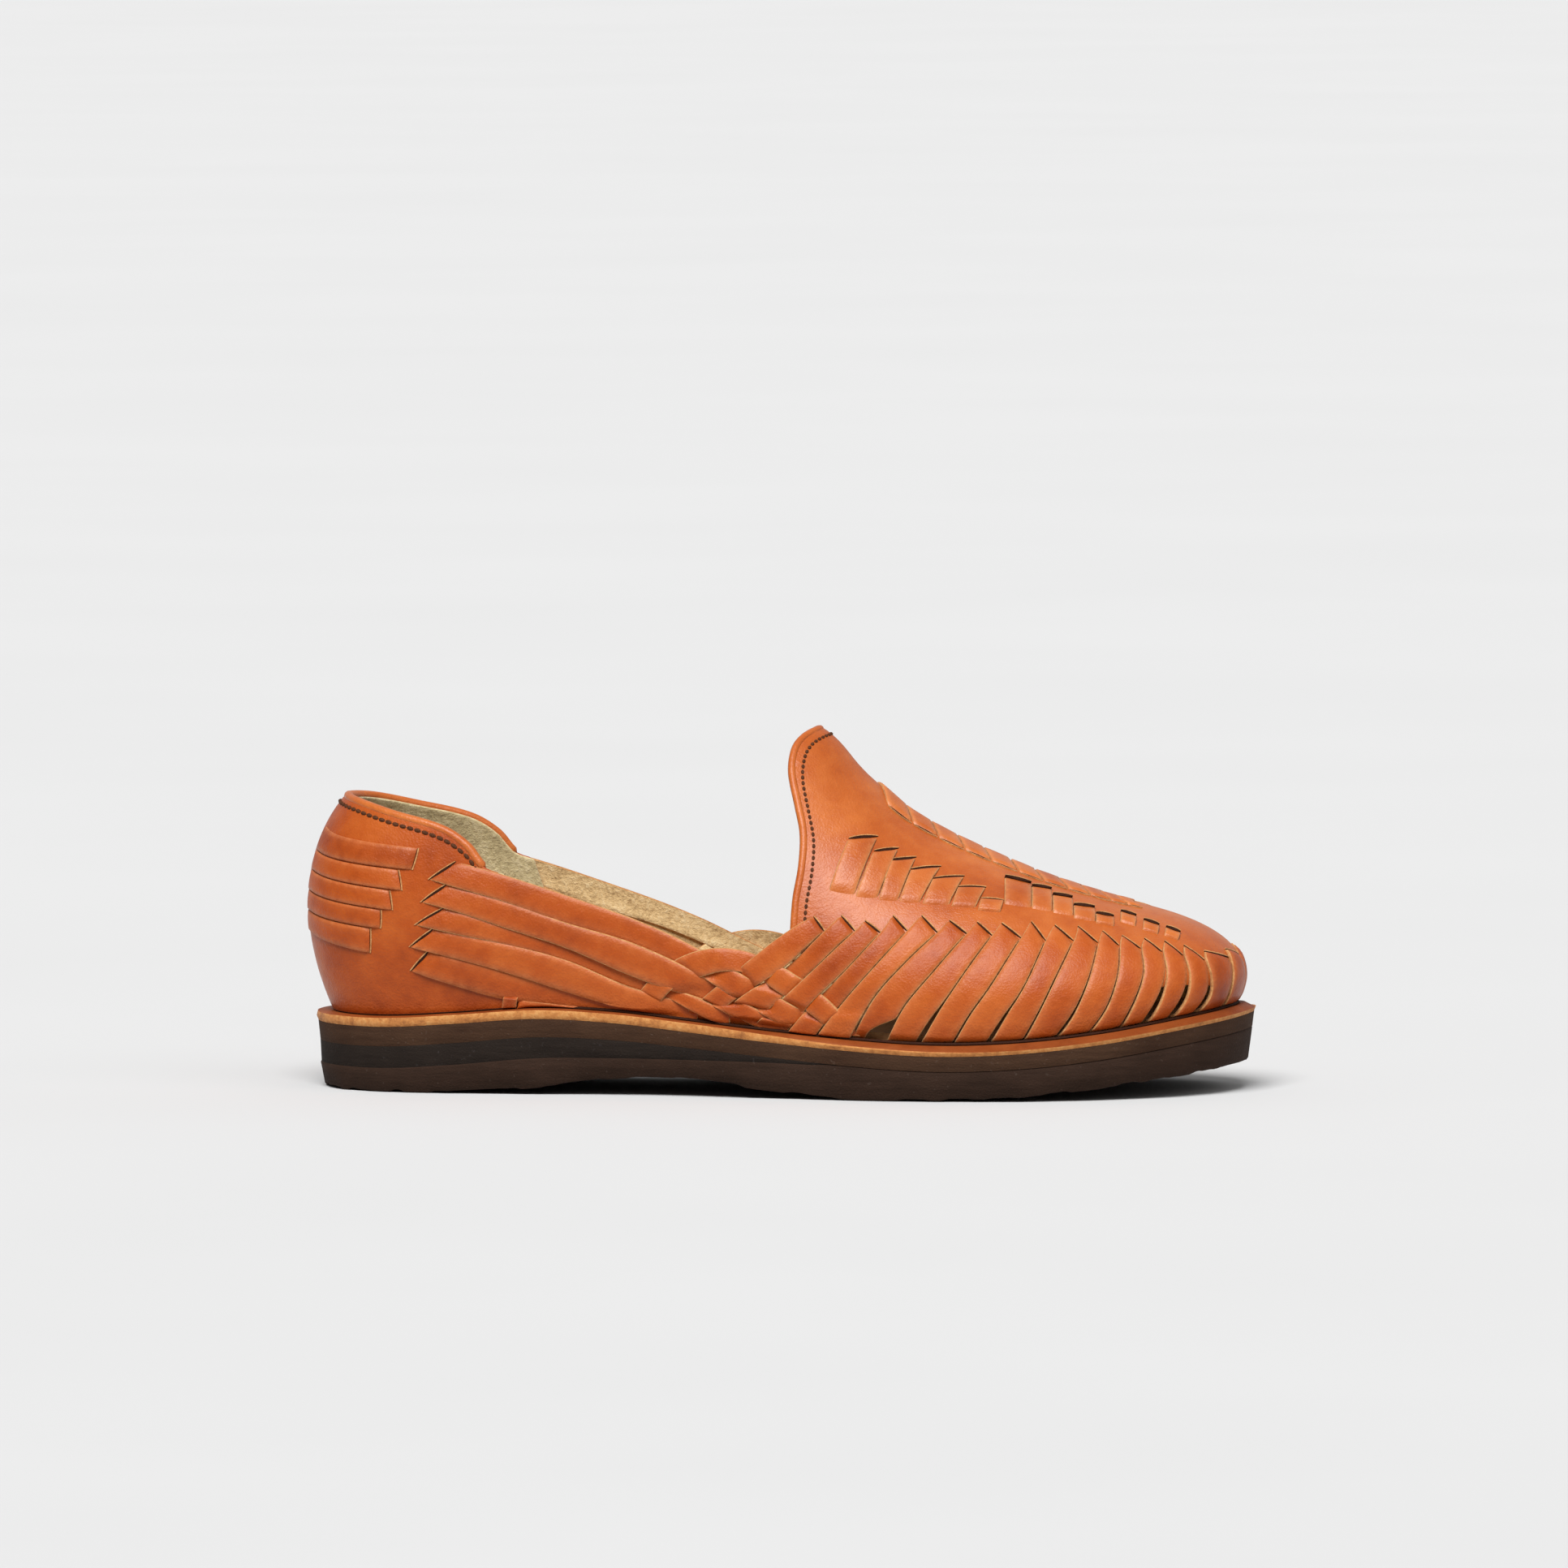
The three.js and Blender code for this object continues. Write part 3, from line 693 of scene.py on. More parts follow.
class Bench:
    """The operators that start, shape and finish a piece."""

    rounded_from = math.radians(50)
    smooth_below = math.radians(48)
    together = 1e-6
    far_end = 0.9999
    no_layer = 99

    @staticmethod
    def clear() -> None:
        """Deselects everything."""
        bpy.ops.object.select_all(action="DESELECT")

    @staticmethod
    def block(name: str, columns: int, rows: int, layers: int = 1) -> bpy.types.Object:
        """Starts a piece as a flat grid raised into a block.

        Args:
            name: The piece's name.
            columns: Faces along it.
            rows: Faces across it.
            layers: How often the grid is extruded.

        Returns:
            The block, with x and y from -0.5 to 0.5 and z from 0 to layers.
        """
        Bench.clear()
        bpy.ops.mesh.primitive_grid_add(x_subdivisions=columns, y_subdivisions=rows, size=1.0)
        piece = bpy.context.object
        piece.name = name
        piece.data.name = name
        bpy.ops.object.mode_set(mode="EDIT")
        bpy.ops.mesh.select_all(action="SELECT")
        for _ in range(layers):
            bpy.ops.mesh.extrude_region_move(TRANSFORM_OT_translate={"value": (0, 0, 1)})
        bpy.ops.object.mode_set(mode="OBJECT")
        return piece

    @staticmethod
    def shape(
        piece: bpy.types.Object,
        place: Place,
        tone: float = 0.5,
        materials: Sequence[bpy.types.Material] = (),
        worn: bool = True,
        open_end: bool = False,
        grain_from: int = no_layer,
    ) -> None:
        """Lays a block's points where they belong and marks its faces.

        Args:
            piece: A block from Bench.block.
            place: Gives the place of (along, across, layer).
            tone: The piece's own shade, from 0 to 1.
            materials: Grain, flesh and edge materials, or fewer.
            worn: Whether the long edges are rubbed lighter.
            open_end: Whether the wall at its far end is left out.
            grain_from: The layer from which its side faces show the grain too.
        """
        mesh = piece.data
        layer = [round(v.co.z) for v in mesh.vertices]
        top = max(layer)
        spots = [(v.co.x + 0.5, v.co.y + 0.5) for v in mesh.vertices]
        for material in materials:
            mesh.materials.append(material)
        for face in mesh.polygons:
            kinds = {layer[i] for i in face.vertices}
            if kinds == {top} or min(kinds) >= grain_from:
                kind = Face.GRAIN
            else:
                kind = Face.FLESH if kinds == {0} else Face.EDGE
            face.material_index = min(kind, len(materials) - 1)
        tones = mesh.attributes.new("tone", "FLOAT", "POINT")
        wear = mesh.attributes.new("wear", "FLOAT", "POINT")
        for vertex, (s, t), k in zip(mesh.vertices, spots, layer):
            vertex.co = place(s, t, k)
            tones.data[vertex.index].value = tone
            wear.data[vertex.index].value = abs(2 * t - 1) ** 3 if worn else 0.0
        if open_end:
            Bench.drop(
                piece,
                [
                    face.index
                    for face in mesh.polygons
                    if all(spots[i][0] > Bench.far_end for i in face.vertices)
                ],
            )

    @staticmethod
    def drop(piece: bpy.types.Object, faces: Sequence[int]) -> None:
        """Takes faces out of a piece.

        Args:
            piece: The piece, which is the active object.
            faces: The numbers of the faces.
        """
        mesh = piece.data
        for part in (mesh.vertices, mesh.edges, mesh.polygons):
            part.foreach_set("select", [False] * len(part))
        for i in faces:
            mesh.polygons[i].select = True
        bpy.ops.object.mode_set(mode="EDIT")
        bpy.ops.mesh.select_mode(type="FACE")
        bpy.ops.mesh.delete(type="ONLY_FACE")
        bpy.ops.mesh.select_mode(type="VERT")
        bpy.ops.object.mode_set(mode="OBJECT")

    @staticmethod
    def edit(piece: bpy.types.Object, *steps: Callable[[], object]) -> None:
        """Runs edit-mode operators on all of a piece.

        Args:
            piece: The piece.
            steps: What is called, in order.
        """
        Bench.clear()
        piece.select_set(True)
        bpy.context.view_layer.objects.active = piece
        bpy.ops.object.mode_set(mode="EDIT")
        bpy.ops.mesh.select_all(action="SELECT")
        for step in steps:
            step()
        bpy.ops.object.mode_set(mode="OBJECT")

    @staticmethod
    def outward() -> None:
        """Turns the selected faces outwards."""
        bpy.ops.mesh.normals_make_consistent(inside=False)

    @staticmethod
    def merge() -> None:
        """Merges the selected points that lie together."""
        bpy.ops.mesh.remove_doubles(threshold=Bench.together)

    @staticmethod
    def finish(piece: bpy.types.Object, bevel: float = 0.0, segments: int = 2) -> bpy.types.Object:
        """Closes, rounds and smooths a piece.

        Args:
            piece: The shaped piece.
            bevel: Width of its rounded edges in millimetres, or 0.
            segments: Faces across a rounded edge.

        Returns:
            The same piece.
        """
        Bench.edit(piece, Bench.merge, Bench.outward)
        if bevel:
            bpy.ops.object.modifier_add(type="BEVEL")
            modifier = piece.modifiers[-1]
            modifier.width = bevel * MM
            modifier.segments = segments
            modifier.limit_method = "ANGLE"
            modifier.angle_limit = Bench.rounded_from
            bpy.ops.object.modifier_apply(modifier=modifier.name)
        bpy.ops.object.shade_smooth_by_angle(angle=Bench.smooth_below)
        return piece

    @staticmethod
    def join(name: str, pieces: Sequence[bpy.types.Object]) -> bpy.types.Object:
        """Joins pieces of one kind into one object.

        Args:
            name: The joined object's name.
            pieces: What is joined.

        Returns:
            The object.
        """
        Bench.clear()
        for piece in pieces:
            piece.select_set(True)
        bpy.context.view_layer.objects.active = pieces[0]
        if len(pieces) > 1:
            bpy.ops.object.join()
        joined = bpy.context.view_layer.objects.active
        joined.name = name
        joined.data.name = name
        return joined

    @staticmethod
    def hand_over(piece: bpy.types.Object, slot: str, *nodes: str) -> None:
        """Puts a finished piece on the shoe.

        Args:
            piece: The piece.
            slot: The record's material slot; not used.
            nodes: CAD nodes that it stands for.
        """
        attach(piece, ROOT_BODY)
        if nodes:
            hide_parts(*nodes)
        LOG.info("%s: %d faces", piece.name, len(piece.data.polygons))


class Board:
    """A material's node tree, filled node by node."""

    def __init__(self, name: str) -> None:
        """Starts a material with a shader and Object coordinates.

        Args:
            name: The material's name.
        """
        self.material = bpy.data.materials.new(name)
        self.material.use_nodes = True
        self.tree = self.material.node_tree
        self.tree.nodes.clear()
        output = self.add("ShaderNodeOutputMaterial")
        self.shader = self.add("ShaderNodeBsdfPrincipled")
        self.tree.links.new(self.shader.outputs["BSDF"], output.inputs["Surface"])
        self.coordinates = self.add("ShaderNodeTexCoord").outputs["Object"]

    def add(self, kind: str, **settings: object) -> bpy.types.Node:
        """Adds a node.

        Args:
            kind: Its Blender type.
            settings: Its properties.

        Returns:
            The node.
        """
        node = self.tree.nodes.new(kind)
        for key, value in settings.items():
            setattr(node, key, value)
        return node

    def feed(self, node: bpy.types.Node, socket: str | int, source: object) -> None:
        """Links a socket to an output, or sets its value.

        Args:
            node: The node.
            socket: The input's name or number.
            source: The output, or the value.
        """
        if isinstance(source, bpy.types.NodeSocket):
            self.tree.links.new(source, node.inputs[socket])
        else:
            node.inputs[socket].default_value = source

    def made(
        self, kind: str, output: str | int, sockets: dict[str | int, object], **settings: object
    ) -> bpy.types.NodeSocket:
        """Adds a node and fills its sockets.

        Args:
            kind: Its Blender type.
            output: The output that is wanted.
            sockets: What each input gets.
            settings: Its properties.

        Returns:
            The output.
        """
        node = self.add(kind, **settings)
        for socket, source in sockets.items():
            self.feed(node, socket, source)
        return node.outputs[output]

    def stretched(self, scale: Colour) -> bpy.types.NodeSocket:
        """Object coordinates stretched along the axes."""
        sockets = {"Vector": self.coordinates, "Scale": scale}
        return self.made("ShaderNodeMapping", "Vector", sockets)

    def noise(
        self, scale: float, detail: float = 3.0, rough: float = 0.55, vector: object = None
    ) -> bpy.types.NodeSocket:
        """Makes a noise pattern.

        Args:
            scale: Features a metre.
            detail: How many finer layers it has.
            rough: How strong those are.
            vector: Coordinates, where they aren't the piece's own.

        Returns:
            The pattern.
        """
        sockets = {"Vector": vector or self.coordinates, "Scale": scale, "Detail": detail}
        sockets["Roughness"] = rough
        return self.made("ShaderNodeTexNoise", "Fac", sockets)

    def pores(self, scale: float) -> bpy.types.NodeSocket:
        """A pattern of cells, dark at their middles."""
        sockets = {"Vector": self.coordinates, "Scale": scale}
        return self.made("ShaderNodeTexVoronoi", "Distance", sockets)

    def attribute(self, name: str) -> bpy.types.NodeSocket:
        """A number stored on the piece's points."""
        return self.add("ShaderNodeAttribute", attribute_name=name).outputs["Fac"]

    def plus(self, a: object, b: object) -> bpy.types.NodeSocket:
        """Two numbers added."""
        return self.made("ShaderNodeMath", 0, {0: a, 1: b}, operation="ADD")

    def times(self, a: object, b: object) -> bpy.types.NodeSocket:
        """Two numbers multiplied."""
        return self.made("ShaderNodeMath", 0, {0: a, 1: b}, operation="MULTIPLY")

    def ramp(self, factor: object, *stops: tuple[float, Colour]) -> bpy.types.NodeSocket:
        """Spreads colours along a number.

        Args:
            factor: The number.
            stops: Where each colour lies, and the colour.

        Returns:
            The colour.
        """
        node = self.add("ShaderNodeValToRGB")
        self.feed(node, "Fac", factor)
        elements = node.color_ramp.elements
        while len(elements) < len(stops):
            elements.new(0.5)
        for element, (position, colour) in zip(elements, stops):
            element.position = position
            element.color = (*colour, 1)
        return node.outputs["Color"]

    def range(self, value: object, low: float, high: float) -> bpy.types.NodeSocket:
        """A 0 to 1 number spread from low to high."""
        sockets = {"Value": value, "To Min": low, "To Max": high}
        return self.made("ShaderNodeMapRange", "Result", sockets)

    def mix(self, factor: object, base: object, colour: Colour) -> bpy.types.NodeSocket:
        """A colour laid over another by a number.

        Args:
            factor: The number.
            base: The colour below.
            colour: The colour on top.

        Returns:
            The mixed colour.
        """
        first, second, mixed = 6, 7, 2
        sockets = {0: factor, first: base, second: (*colour, 1)}
        return self.made("ShaderNodeMix", mixed, sockets, data_type="RGBA")

    def bump(self, height: object, depth: float, below: object = None) -> bpy.types.NodeSocket:
        """Makes relief.

        Args:
            height: The pattern.
            depth: Its depth in millimetres.
            below: Another relief that it lies on.

        Returns:
            The normal.
        """
        sockets = {"Height": height, "Distance": depth * MM}
        if below is not None:
            sockets["Normal"] = below
        return self.made("ShaderNodeBump", "Normal", sockets)

    def finish(self, **sockets: object) -> bpy.types.Material:
        """Sets the shader.

        Args:
            sockets: The shader's sockets, named with _ for a space.

        Returns:
            The material.
        """
        for key, value in sockets.items():
            name = key.replace("_", " ")
            self.feed(self.shader, name, (*value, 1) if isinstance(value, tuple) else value)
        return self.material


@dataclass(frozen=True)
class GrainLeather:
    """Smooth oiled leather, rubbed lighter along its edges."""

    name: str
    deep: Colour
    middle: Colour
    light: Colour
    rubbed: Colour
    roughness: float = 0.4
    coat: float = 0.07
    shine: float = 0.21

    def build(self) -> bpy.types.Material:
        """Makes the material.

        Returns:
            The material.
        """
        board = Board(self.name)
        clouds = board.noise(scale=38, detail=4, rough=0.6)
        mottle = board.noise(scale=210, detail=3, rough=0.6)
        shade = board.plus(board.times(clouds, 0.62), board.times(mottle, 0.22))
        tone = board.times(board.attribute("tone"), 0.3)
        base = board.ramp(
            board.plus(shade, tone), (0.32, self.deep), (0.55, self.middle), (0.82, self.light)
        )
        scuffed = board.times(board.attribute("wear"), board.noise(scale=420))
        colour = board.mix(board.times(scuffed, 0.75), base, self.rubbed)
        grain = board.bump(board.pores(scale=1500), depth=0.08)
        wrinkles = board.noise(scale=520, detail=5, rough=0.62)
        creases = board.bump(wrinkles, depth=0.2, below=grain)
        gloss = board.range(
            board.noise(scale=260), low=self.roughness - 0.1, high=self.roughness + 0.12
        )
        return board.finish(
            Base_Color=colour, Roughness=gloss, Normal=creases, Coat_Weight=self.coat,
            Coat_Roughness=0.3, Specular_IOR_Level=self.shine,
        )


@dataclass(frozen=True)
class RoughLeather:
    """A fibrous face of leather: the flesh side, a cut edge or a suede lining."""

    name: str
    dark: Colour
    middle: Colour
    light: Colour
    fibre: float = 900.0
    depth: float = 0.5
    sheen: float = 0.2

    def build(self) -> bpy.types.Material:
        """Makes the material.

        Returns:
            The material.
        """
        board = Board(self.name)
        clumps = board.noise(scale=self.fibre * 0.25, detail=4, rough=0.65)
        fibres = board.noise(scale=self.fibre, detail=4, rough=0.7)
        shade = board.plus(board.times(clumps, 0.6), board.times(fibres, 0.4))
        colour = board.ramp(shade, (0.3, self.dark), (0.5, self.middle), (0.72, self.light))
        nap = board.bump(fibres, depth=self.depth * 0.6)
        normal = board.bump(clumps, depth=self.depth, below=nap)
        return board.finish(
            Base_Color=colour, Roughness=0.92, Normal=normal, Sheen_Weight=self.sheen,
            Sheen_Roughness=0.5,
        )


@dataclass(frozen=True)
class FoamRubber:
    """Sanded foam rubber with fine pores and pale dust."""

    name: str
    dark: Colour
    light: Colour
    dust: Colour

    def build(self) -> bpy.types.Material:
        """Makes the material.

        Returns:
            The material.
        """
        board = Board(self.name)
        clouds = board.noise(scale=60)
        sanding = board.stretched((0.25, 0.25, 2.2))
        streaks = board.noise(scale=260, detail=4, rough=0.6, vector=sanding)
        shade = board.plus(board.times(clouds, 0.5), board.times(streaks, 0.5))
        base = board.ramp(shade, (0.35, self.dark), (0.65, self.light))
        grit = board.noise(scale=900, detail=2, rough=0.5)
        specks = board.ramp(grit, (0.66, (0, 0, 0)), (0.76, (1, 1, 1)))
        colour = board.mix(board.times(specks, 0.25), base, self.dust)
        pores = board.bump(board.pores(scale=1800), depth=0.12)
        normal = board.bump(streaks, depth=0.25, below=pores)
        return board.finish(
            Base_Color=colour, Roughness=0.85, Normal=normal, Specular_IOR_Level=0.15
        )


@dataclass(frozen=True)
class WaxedThreadAndShadow:
    """Dark waxed sewing thread, and a dark finish that paints shade inside slits and under the foot
    of the upper.
    """

    name: str
    dark: Colour
    light: Colour

    def build(self) -> bpy.types.Material:
        """Makes the material.

        Returns:
            The material.
        """
        board = Board(self.name)
        twist = board.noise(scale=2600, detail=2)
        colour = board.ramp(twist, (0.3, self.dark), (0.7, self.light))
        normal = board.bump(twist, depth=0.12)
        return board.finish(
            Base_Color=colour, Roughness=0.7, Normal=normal, Specular_IOR_Level=0.08
        )


class Finishes:
    """All the materials of the shoe."""

    def __init__(self) -> None:
        """Builds each finish once."""
        self.tan = GrainLeather(
            "tan_leather", (0.21, 0.026, 0.0025), (0.38, 0.066, 0.007), (0.52, 0.125, 0.02),
            (0.6, 0.22, 0.08),
        ).build()
        self.vamp = GrainLeather(
            "vamp_leather", (0.25, 0.036, 0.004), (0.42, 0.086, 0.01), (0.56, 0.155, 0.03),
            (0.66, 0.28, 0.11), roughness=0.38, coat=0.18, shine=0.3,
        ).build()
        # The welt's top is darker than its edge: partly the leather's own brown, partly painted
        # shade from the upper above it.
        self.shaded_welt_top = GrainLeather(
            "shaded_welt_top", (0.12, 0.02, 0.003), (0.23, 0.05, 0.009), (0.34, 0.095, 0.022),
            (0.5, 0.2, 0.08), roughness=0.5, coat=0.0,
        ).build()
        self.flesh = RoughLeather(
            "flesh_side", (0.42, 0.26, 0.11), (0.72, 0.5, 0.24), (0.86, 0.67, 0.39),
        ).build()
        self.cut = RoughLeather(
            "cut_edge", (0.26, 0.09, 0.024), (0.48, 0.215, 0.07), (0.62, 0.35, 0.145),
            fibre=1400, depth=0.25, sheen=0.05,
        ).build()
        self.suede = RoughLeather(
            "heel_suede", (0.3, 0.23, 0.115), (0.52, 0.42, 0.22), (0.7, 0.59, 0.36),
            fibre=800, depth=0.5, sheen=0.3,
        ).build()
        self.welt = RoughLeather(
            "welt_edge", (0.26, 0.085, 0.018), (0.47, 0.18, 0.042), (0.62, 0.31, 0.1),
            fibre=700, depth=0.4, sheen=0.05,
        ).build()
        # The footbed's own light tan is darkened to mid-brown: painted shade inside the shoe, seen
        # through the gaps between the strips.
        self.footbed = RoughLeather(
            "footbed", (0.19, 0.095, 0.035), (0.29, 0.155, 0.06), (0.38, 0.225, 0.1),
            fibre=600, depth=0.2, sheen=0.1,
        ).build()
        self.cushion = FoamRubber(
            "cushion_foam", (0.036, 0.016, 0.008), (0.06, 0.029, 0.015), (0.14, 0.1, 0.08)
        ).build()
        self.wedge = FoamRubber(
            "wedge_foam", (0.011, 0.007, 0.005), (0.02, 0.0135, 0.01), (0.08, 0.07, 0.07)
        ).build()
        self.outsole = FoamRubber(
            "outsole_foam", (0.021, 0.01, 0.0055), (0.036, 0.018, 0.011), (0.11, 0.08, 0.065)
        ).build()
        self.thread = WaxedThreadAndShadow("dark_thread", (0.05, 0.017, 0.007), (0.12, 0.045, 0.02)).build()
        # The slit_shadow finish paints shade: inside the slits and along the foot of the upper.
        self.slit = WaxedThreadAndShadow("slit_shadow", (0.02, 0.006, 0.003), (0.045, 0.014, 0.006)).build()


@dataclass
class Sole:
    """The outsole, heel wedge, cushion layer, leather midsole and footbed."""

    last: Last
    finishes: Finishes
    foam_grid: tuple[int, int] = (150, 10)
    welt_grid: tuple[int, int] = (220, 24)
    footbed_grid: tuple[int, int] = (110, 16)
    foam_bevel: float = 0.25
    welt_bevel: float = 0.3
    footbed_bevel: float = 0.5
    seam: float = 0.03
    trim: float = 0.9
    wedge_end: float = 0.531
    wedge_overlap: float = 0.02
    wedge_fade: float = 9.0
    edge_round: float = 0.25
    ball_round: float = 1.15
    toe_round: float = 0.6
    round_from: float = 120.0
    round_run: float = 60.0
    footbed_inset: float = 9.2
    footbed_thick: float = 2.5
    footbed_dish: float = 0.9

    def slab(
        self,
        name: str,
        edges: Sequence[LayerEdge],
        finish: bpy.types.Material,
        end: float = 1.0,
        ragged: bool = False,
    ) -> bpy.types.Object:
        """Makes one foam layer of the sole.

        Args:
            name: The layer's name.
            edges: Its edges from its foot up.
            finish: Its material.
            end: The u that the layer runs to.
            ragged: Whether its foot is cut unevenly.

        Returns:
            The layer.
        """
        piece = Bench.block(name, *self.foam_grid, len(edges) - 1)
        lift_beat, width_beat, mostly_up, evenly = 61, 47, 0.35, 0.5

        def place(s: float, t: float, k: int) -> Vector:
            """Lays a point of the layer, off its true line where the foot is ragged.

            Args:
                s: Share along.
                t: Share across.
                k: Number of its edge from the foot up.

            Returns:
                The point in metres.
            """
            inset, height = edges[k]
            spot = self.last.across(s * end, inset, t)
            spot.z = height(spot.x)
            if ragged and k <= 1 and t in (0.0, 1.0):
                spot.z += self.trim * (scatter(round(s * lift_beat) + 7 * t) - mostly_up)
                cut = self.trim * (scatter(round(s * width_beat) + 3 * t) - evenly)
                spot.y += (t - 0.5) * cut
            return self.last.world(spot)

        Bench.shape(piece, place, materials=(finish,), worn=False)
        return Bench.finish(piece, self.foam_bevel)

    def layers(self) -> None:
        """Builds the three foam layers of the sole."""
        last, finishes, seam = self.last, self.finishes, self.seam
        outsole = (
            LayerEdge(2.9, last.tread),
            LayerEdge(2.3, lambda x: last.tread(x) + 0.7),
            LayerEdge(1.05, lambda x: self.outsole_top(x) - 0.5),
            LayerEdge(1.3, self.outsole_top),
        )
        wedge = (
            LayerEdge(1.3, lambda x: self.outsole_top(x) + seam),
            LayerEdge(1.0, lambda x: last.cushion_foot(x) - seam),
        )
        cushion = (
            LayerEdge(1.0, last.cushion_foot),
            LayerEdge(0.4, lambda x: last.leather_foot(x) - seam),
        )
        wedge_end = self.wedge_end + self.wedge_overlap
        tread = self.slab("sole_tread", outsole, finishes.outsole, ragged=True)
        Bench.hand_over(tread, "outsole_rubber", "outsole")
        heel = self.slab("sole_wedge", wedge, finishes.wedge, wedge_end)
        Bench.hand_over(heel, "wedge_rubber", "heel_wedge")
        pad = self.slab("sole_cushion", cushion, finishes.cushion)
        Bench.hand_over(pad, "cushion_rubber", "cushion_layer")

    def outsole_top(self, x: float) -> float:
        """Finds the outsole's top, which rises to the cushion layer where the wedge runs out.

        Args:
            x: A place along the shoe.

        Returns:
            The height there.
        """
        end = self.last.outline(Side.OUTSIDE, self.wedge_end, 0.0).x
        low, high = self.last.wedge_foot(x), self.last.cushion_foot(x)
        return low + (high - low) * ease((x - end) / self.wedge_fade) - self.seam

    def rounding(self, x: float) -> float:
        """Finds how far the welt's upper edge is rounded down, more so towards the toe.

        Args:
            x: A place along the shoe.

        Returns:
            The drop there.
        """
        ball = ease((x - self.round_from) / self.round_run)
        toe = ease((x - self.round_from - self.round_run) / self.round_run)
        return self.edge_round + self.ball_round * ball + self.toe_round * toe

    def midsole(self) -> None:
        """Builds the leather midsole, whose rim is the welt."""
        last, finishes = self.last, self.finishes
        edges = (
            LayerEdge(0.4, last.leather_foot),
            LayerEdge(-0.1, lambda x: last.leather_foot(x) + 1.2),
            LayerEdge(0.25, lambda x: last.sole_top(x) - self.rounding(x)),
            LayerEdge(3.2, last.sole_top),
        )
        piece = Bench.block("welt_leather", *self.welt_grid, len(edges) - 1)

        def place(s: float, t: float, k: int) -> Vector:
            """Lays a point of the leather.

            Args:
                s: Share along.
                t: Share across.
                k: Number of its edge from the foot up.

            Returns:
                The point in metres.
            """
            inset, height = edges[k]
            spot = last.across(s, inset, half_cosine(t))
            spot.z = height(spot.x)
            return last.world(spot)

        # The welt's top takes the darker finish, partly painted shade.
        leathers = (finishes.shaded_welt_top, finishes.welt, finishes.welt)
        Bench.shape(piece, place, 0.45, leathers, worn=False, grain_from=2)
        Bench.finish(piece, self.welt_bevel)
        Bench.hand_over(piece, "raw_leather", "leather_midsole")

    def footbed(self) -> None:
        """Builds the leather insole, dished along its middle, in a darkened finish that paints the
        shade inside the shoe.
        """
        last = self.last
        piece = Bench.block("footbed_leather", *self.footbed_grid)

        def place(s: float, t: float, k: int) -> Vector:
            """Lays a point of the footbed.

            Args:
                s: Share along.
                t: Share across.
                k: 1 on top, 0 underneath.

            Returns:
                The point in metres.
            """
            spot = last.across(s, self.footbed_inset, half_cosine(t))
            dish = self.footbed_dish * math.sin(math.pi * t) * math.sin(math.pi * s)
            spot.z = last.sole_top(spot.x) + last.gap + (self.footbed_thick - dish if k else 0.0)
            return last.world(spot)

        Bench.shape(piece, place, materials=(self.finishes.footbed,), worn=False)
        Bench.finish(piece, self.footbed_bevel)
        Bench.hand_over(piece, "insole_leather", "insole")


@dataclass(frozen=True)
class Cut:
    """How a strip of leather is cut: its thickness, shade, and how it crowns and rolls."""

    thick: float = 1.4
    tone: float = 0.5
    crown: float = 0.25
    roll: float = 0.0
    columns: int = 30
    rows: int = 5
    bevel: float = 0.26
    # pale: the paler, glossier vamp leather, which on the tabs paints part of a highlight.
    pale: bool = False


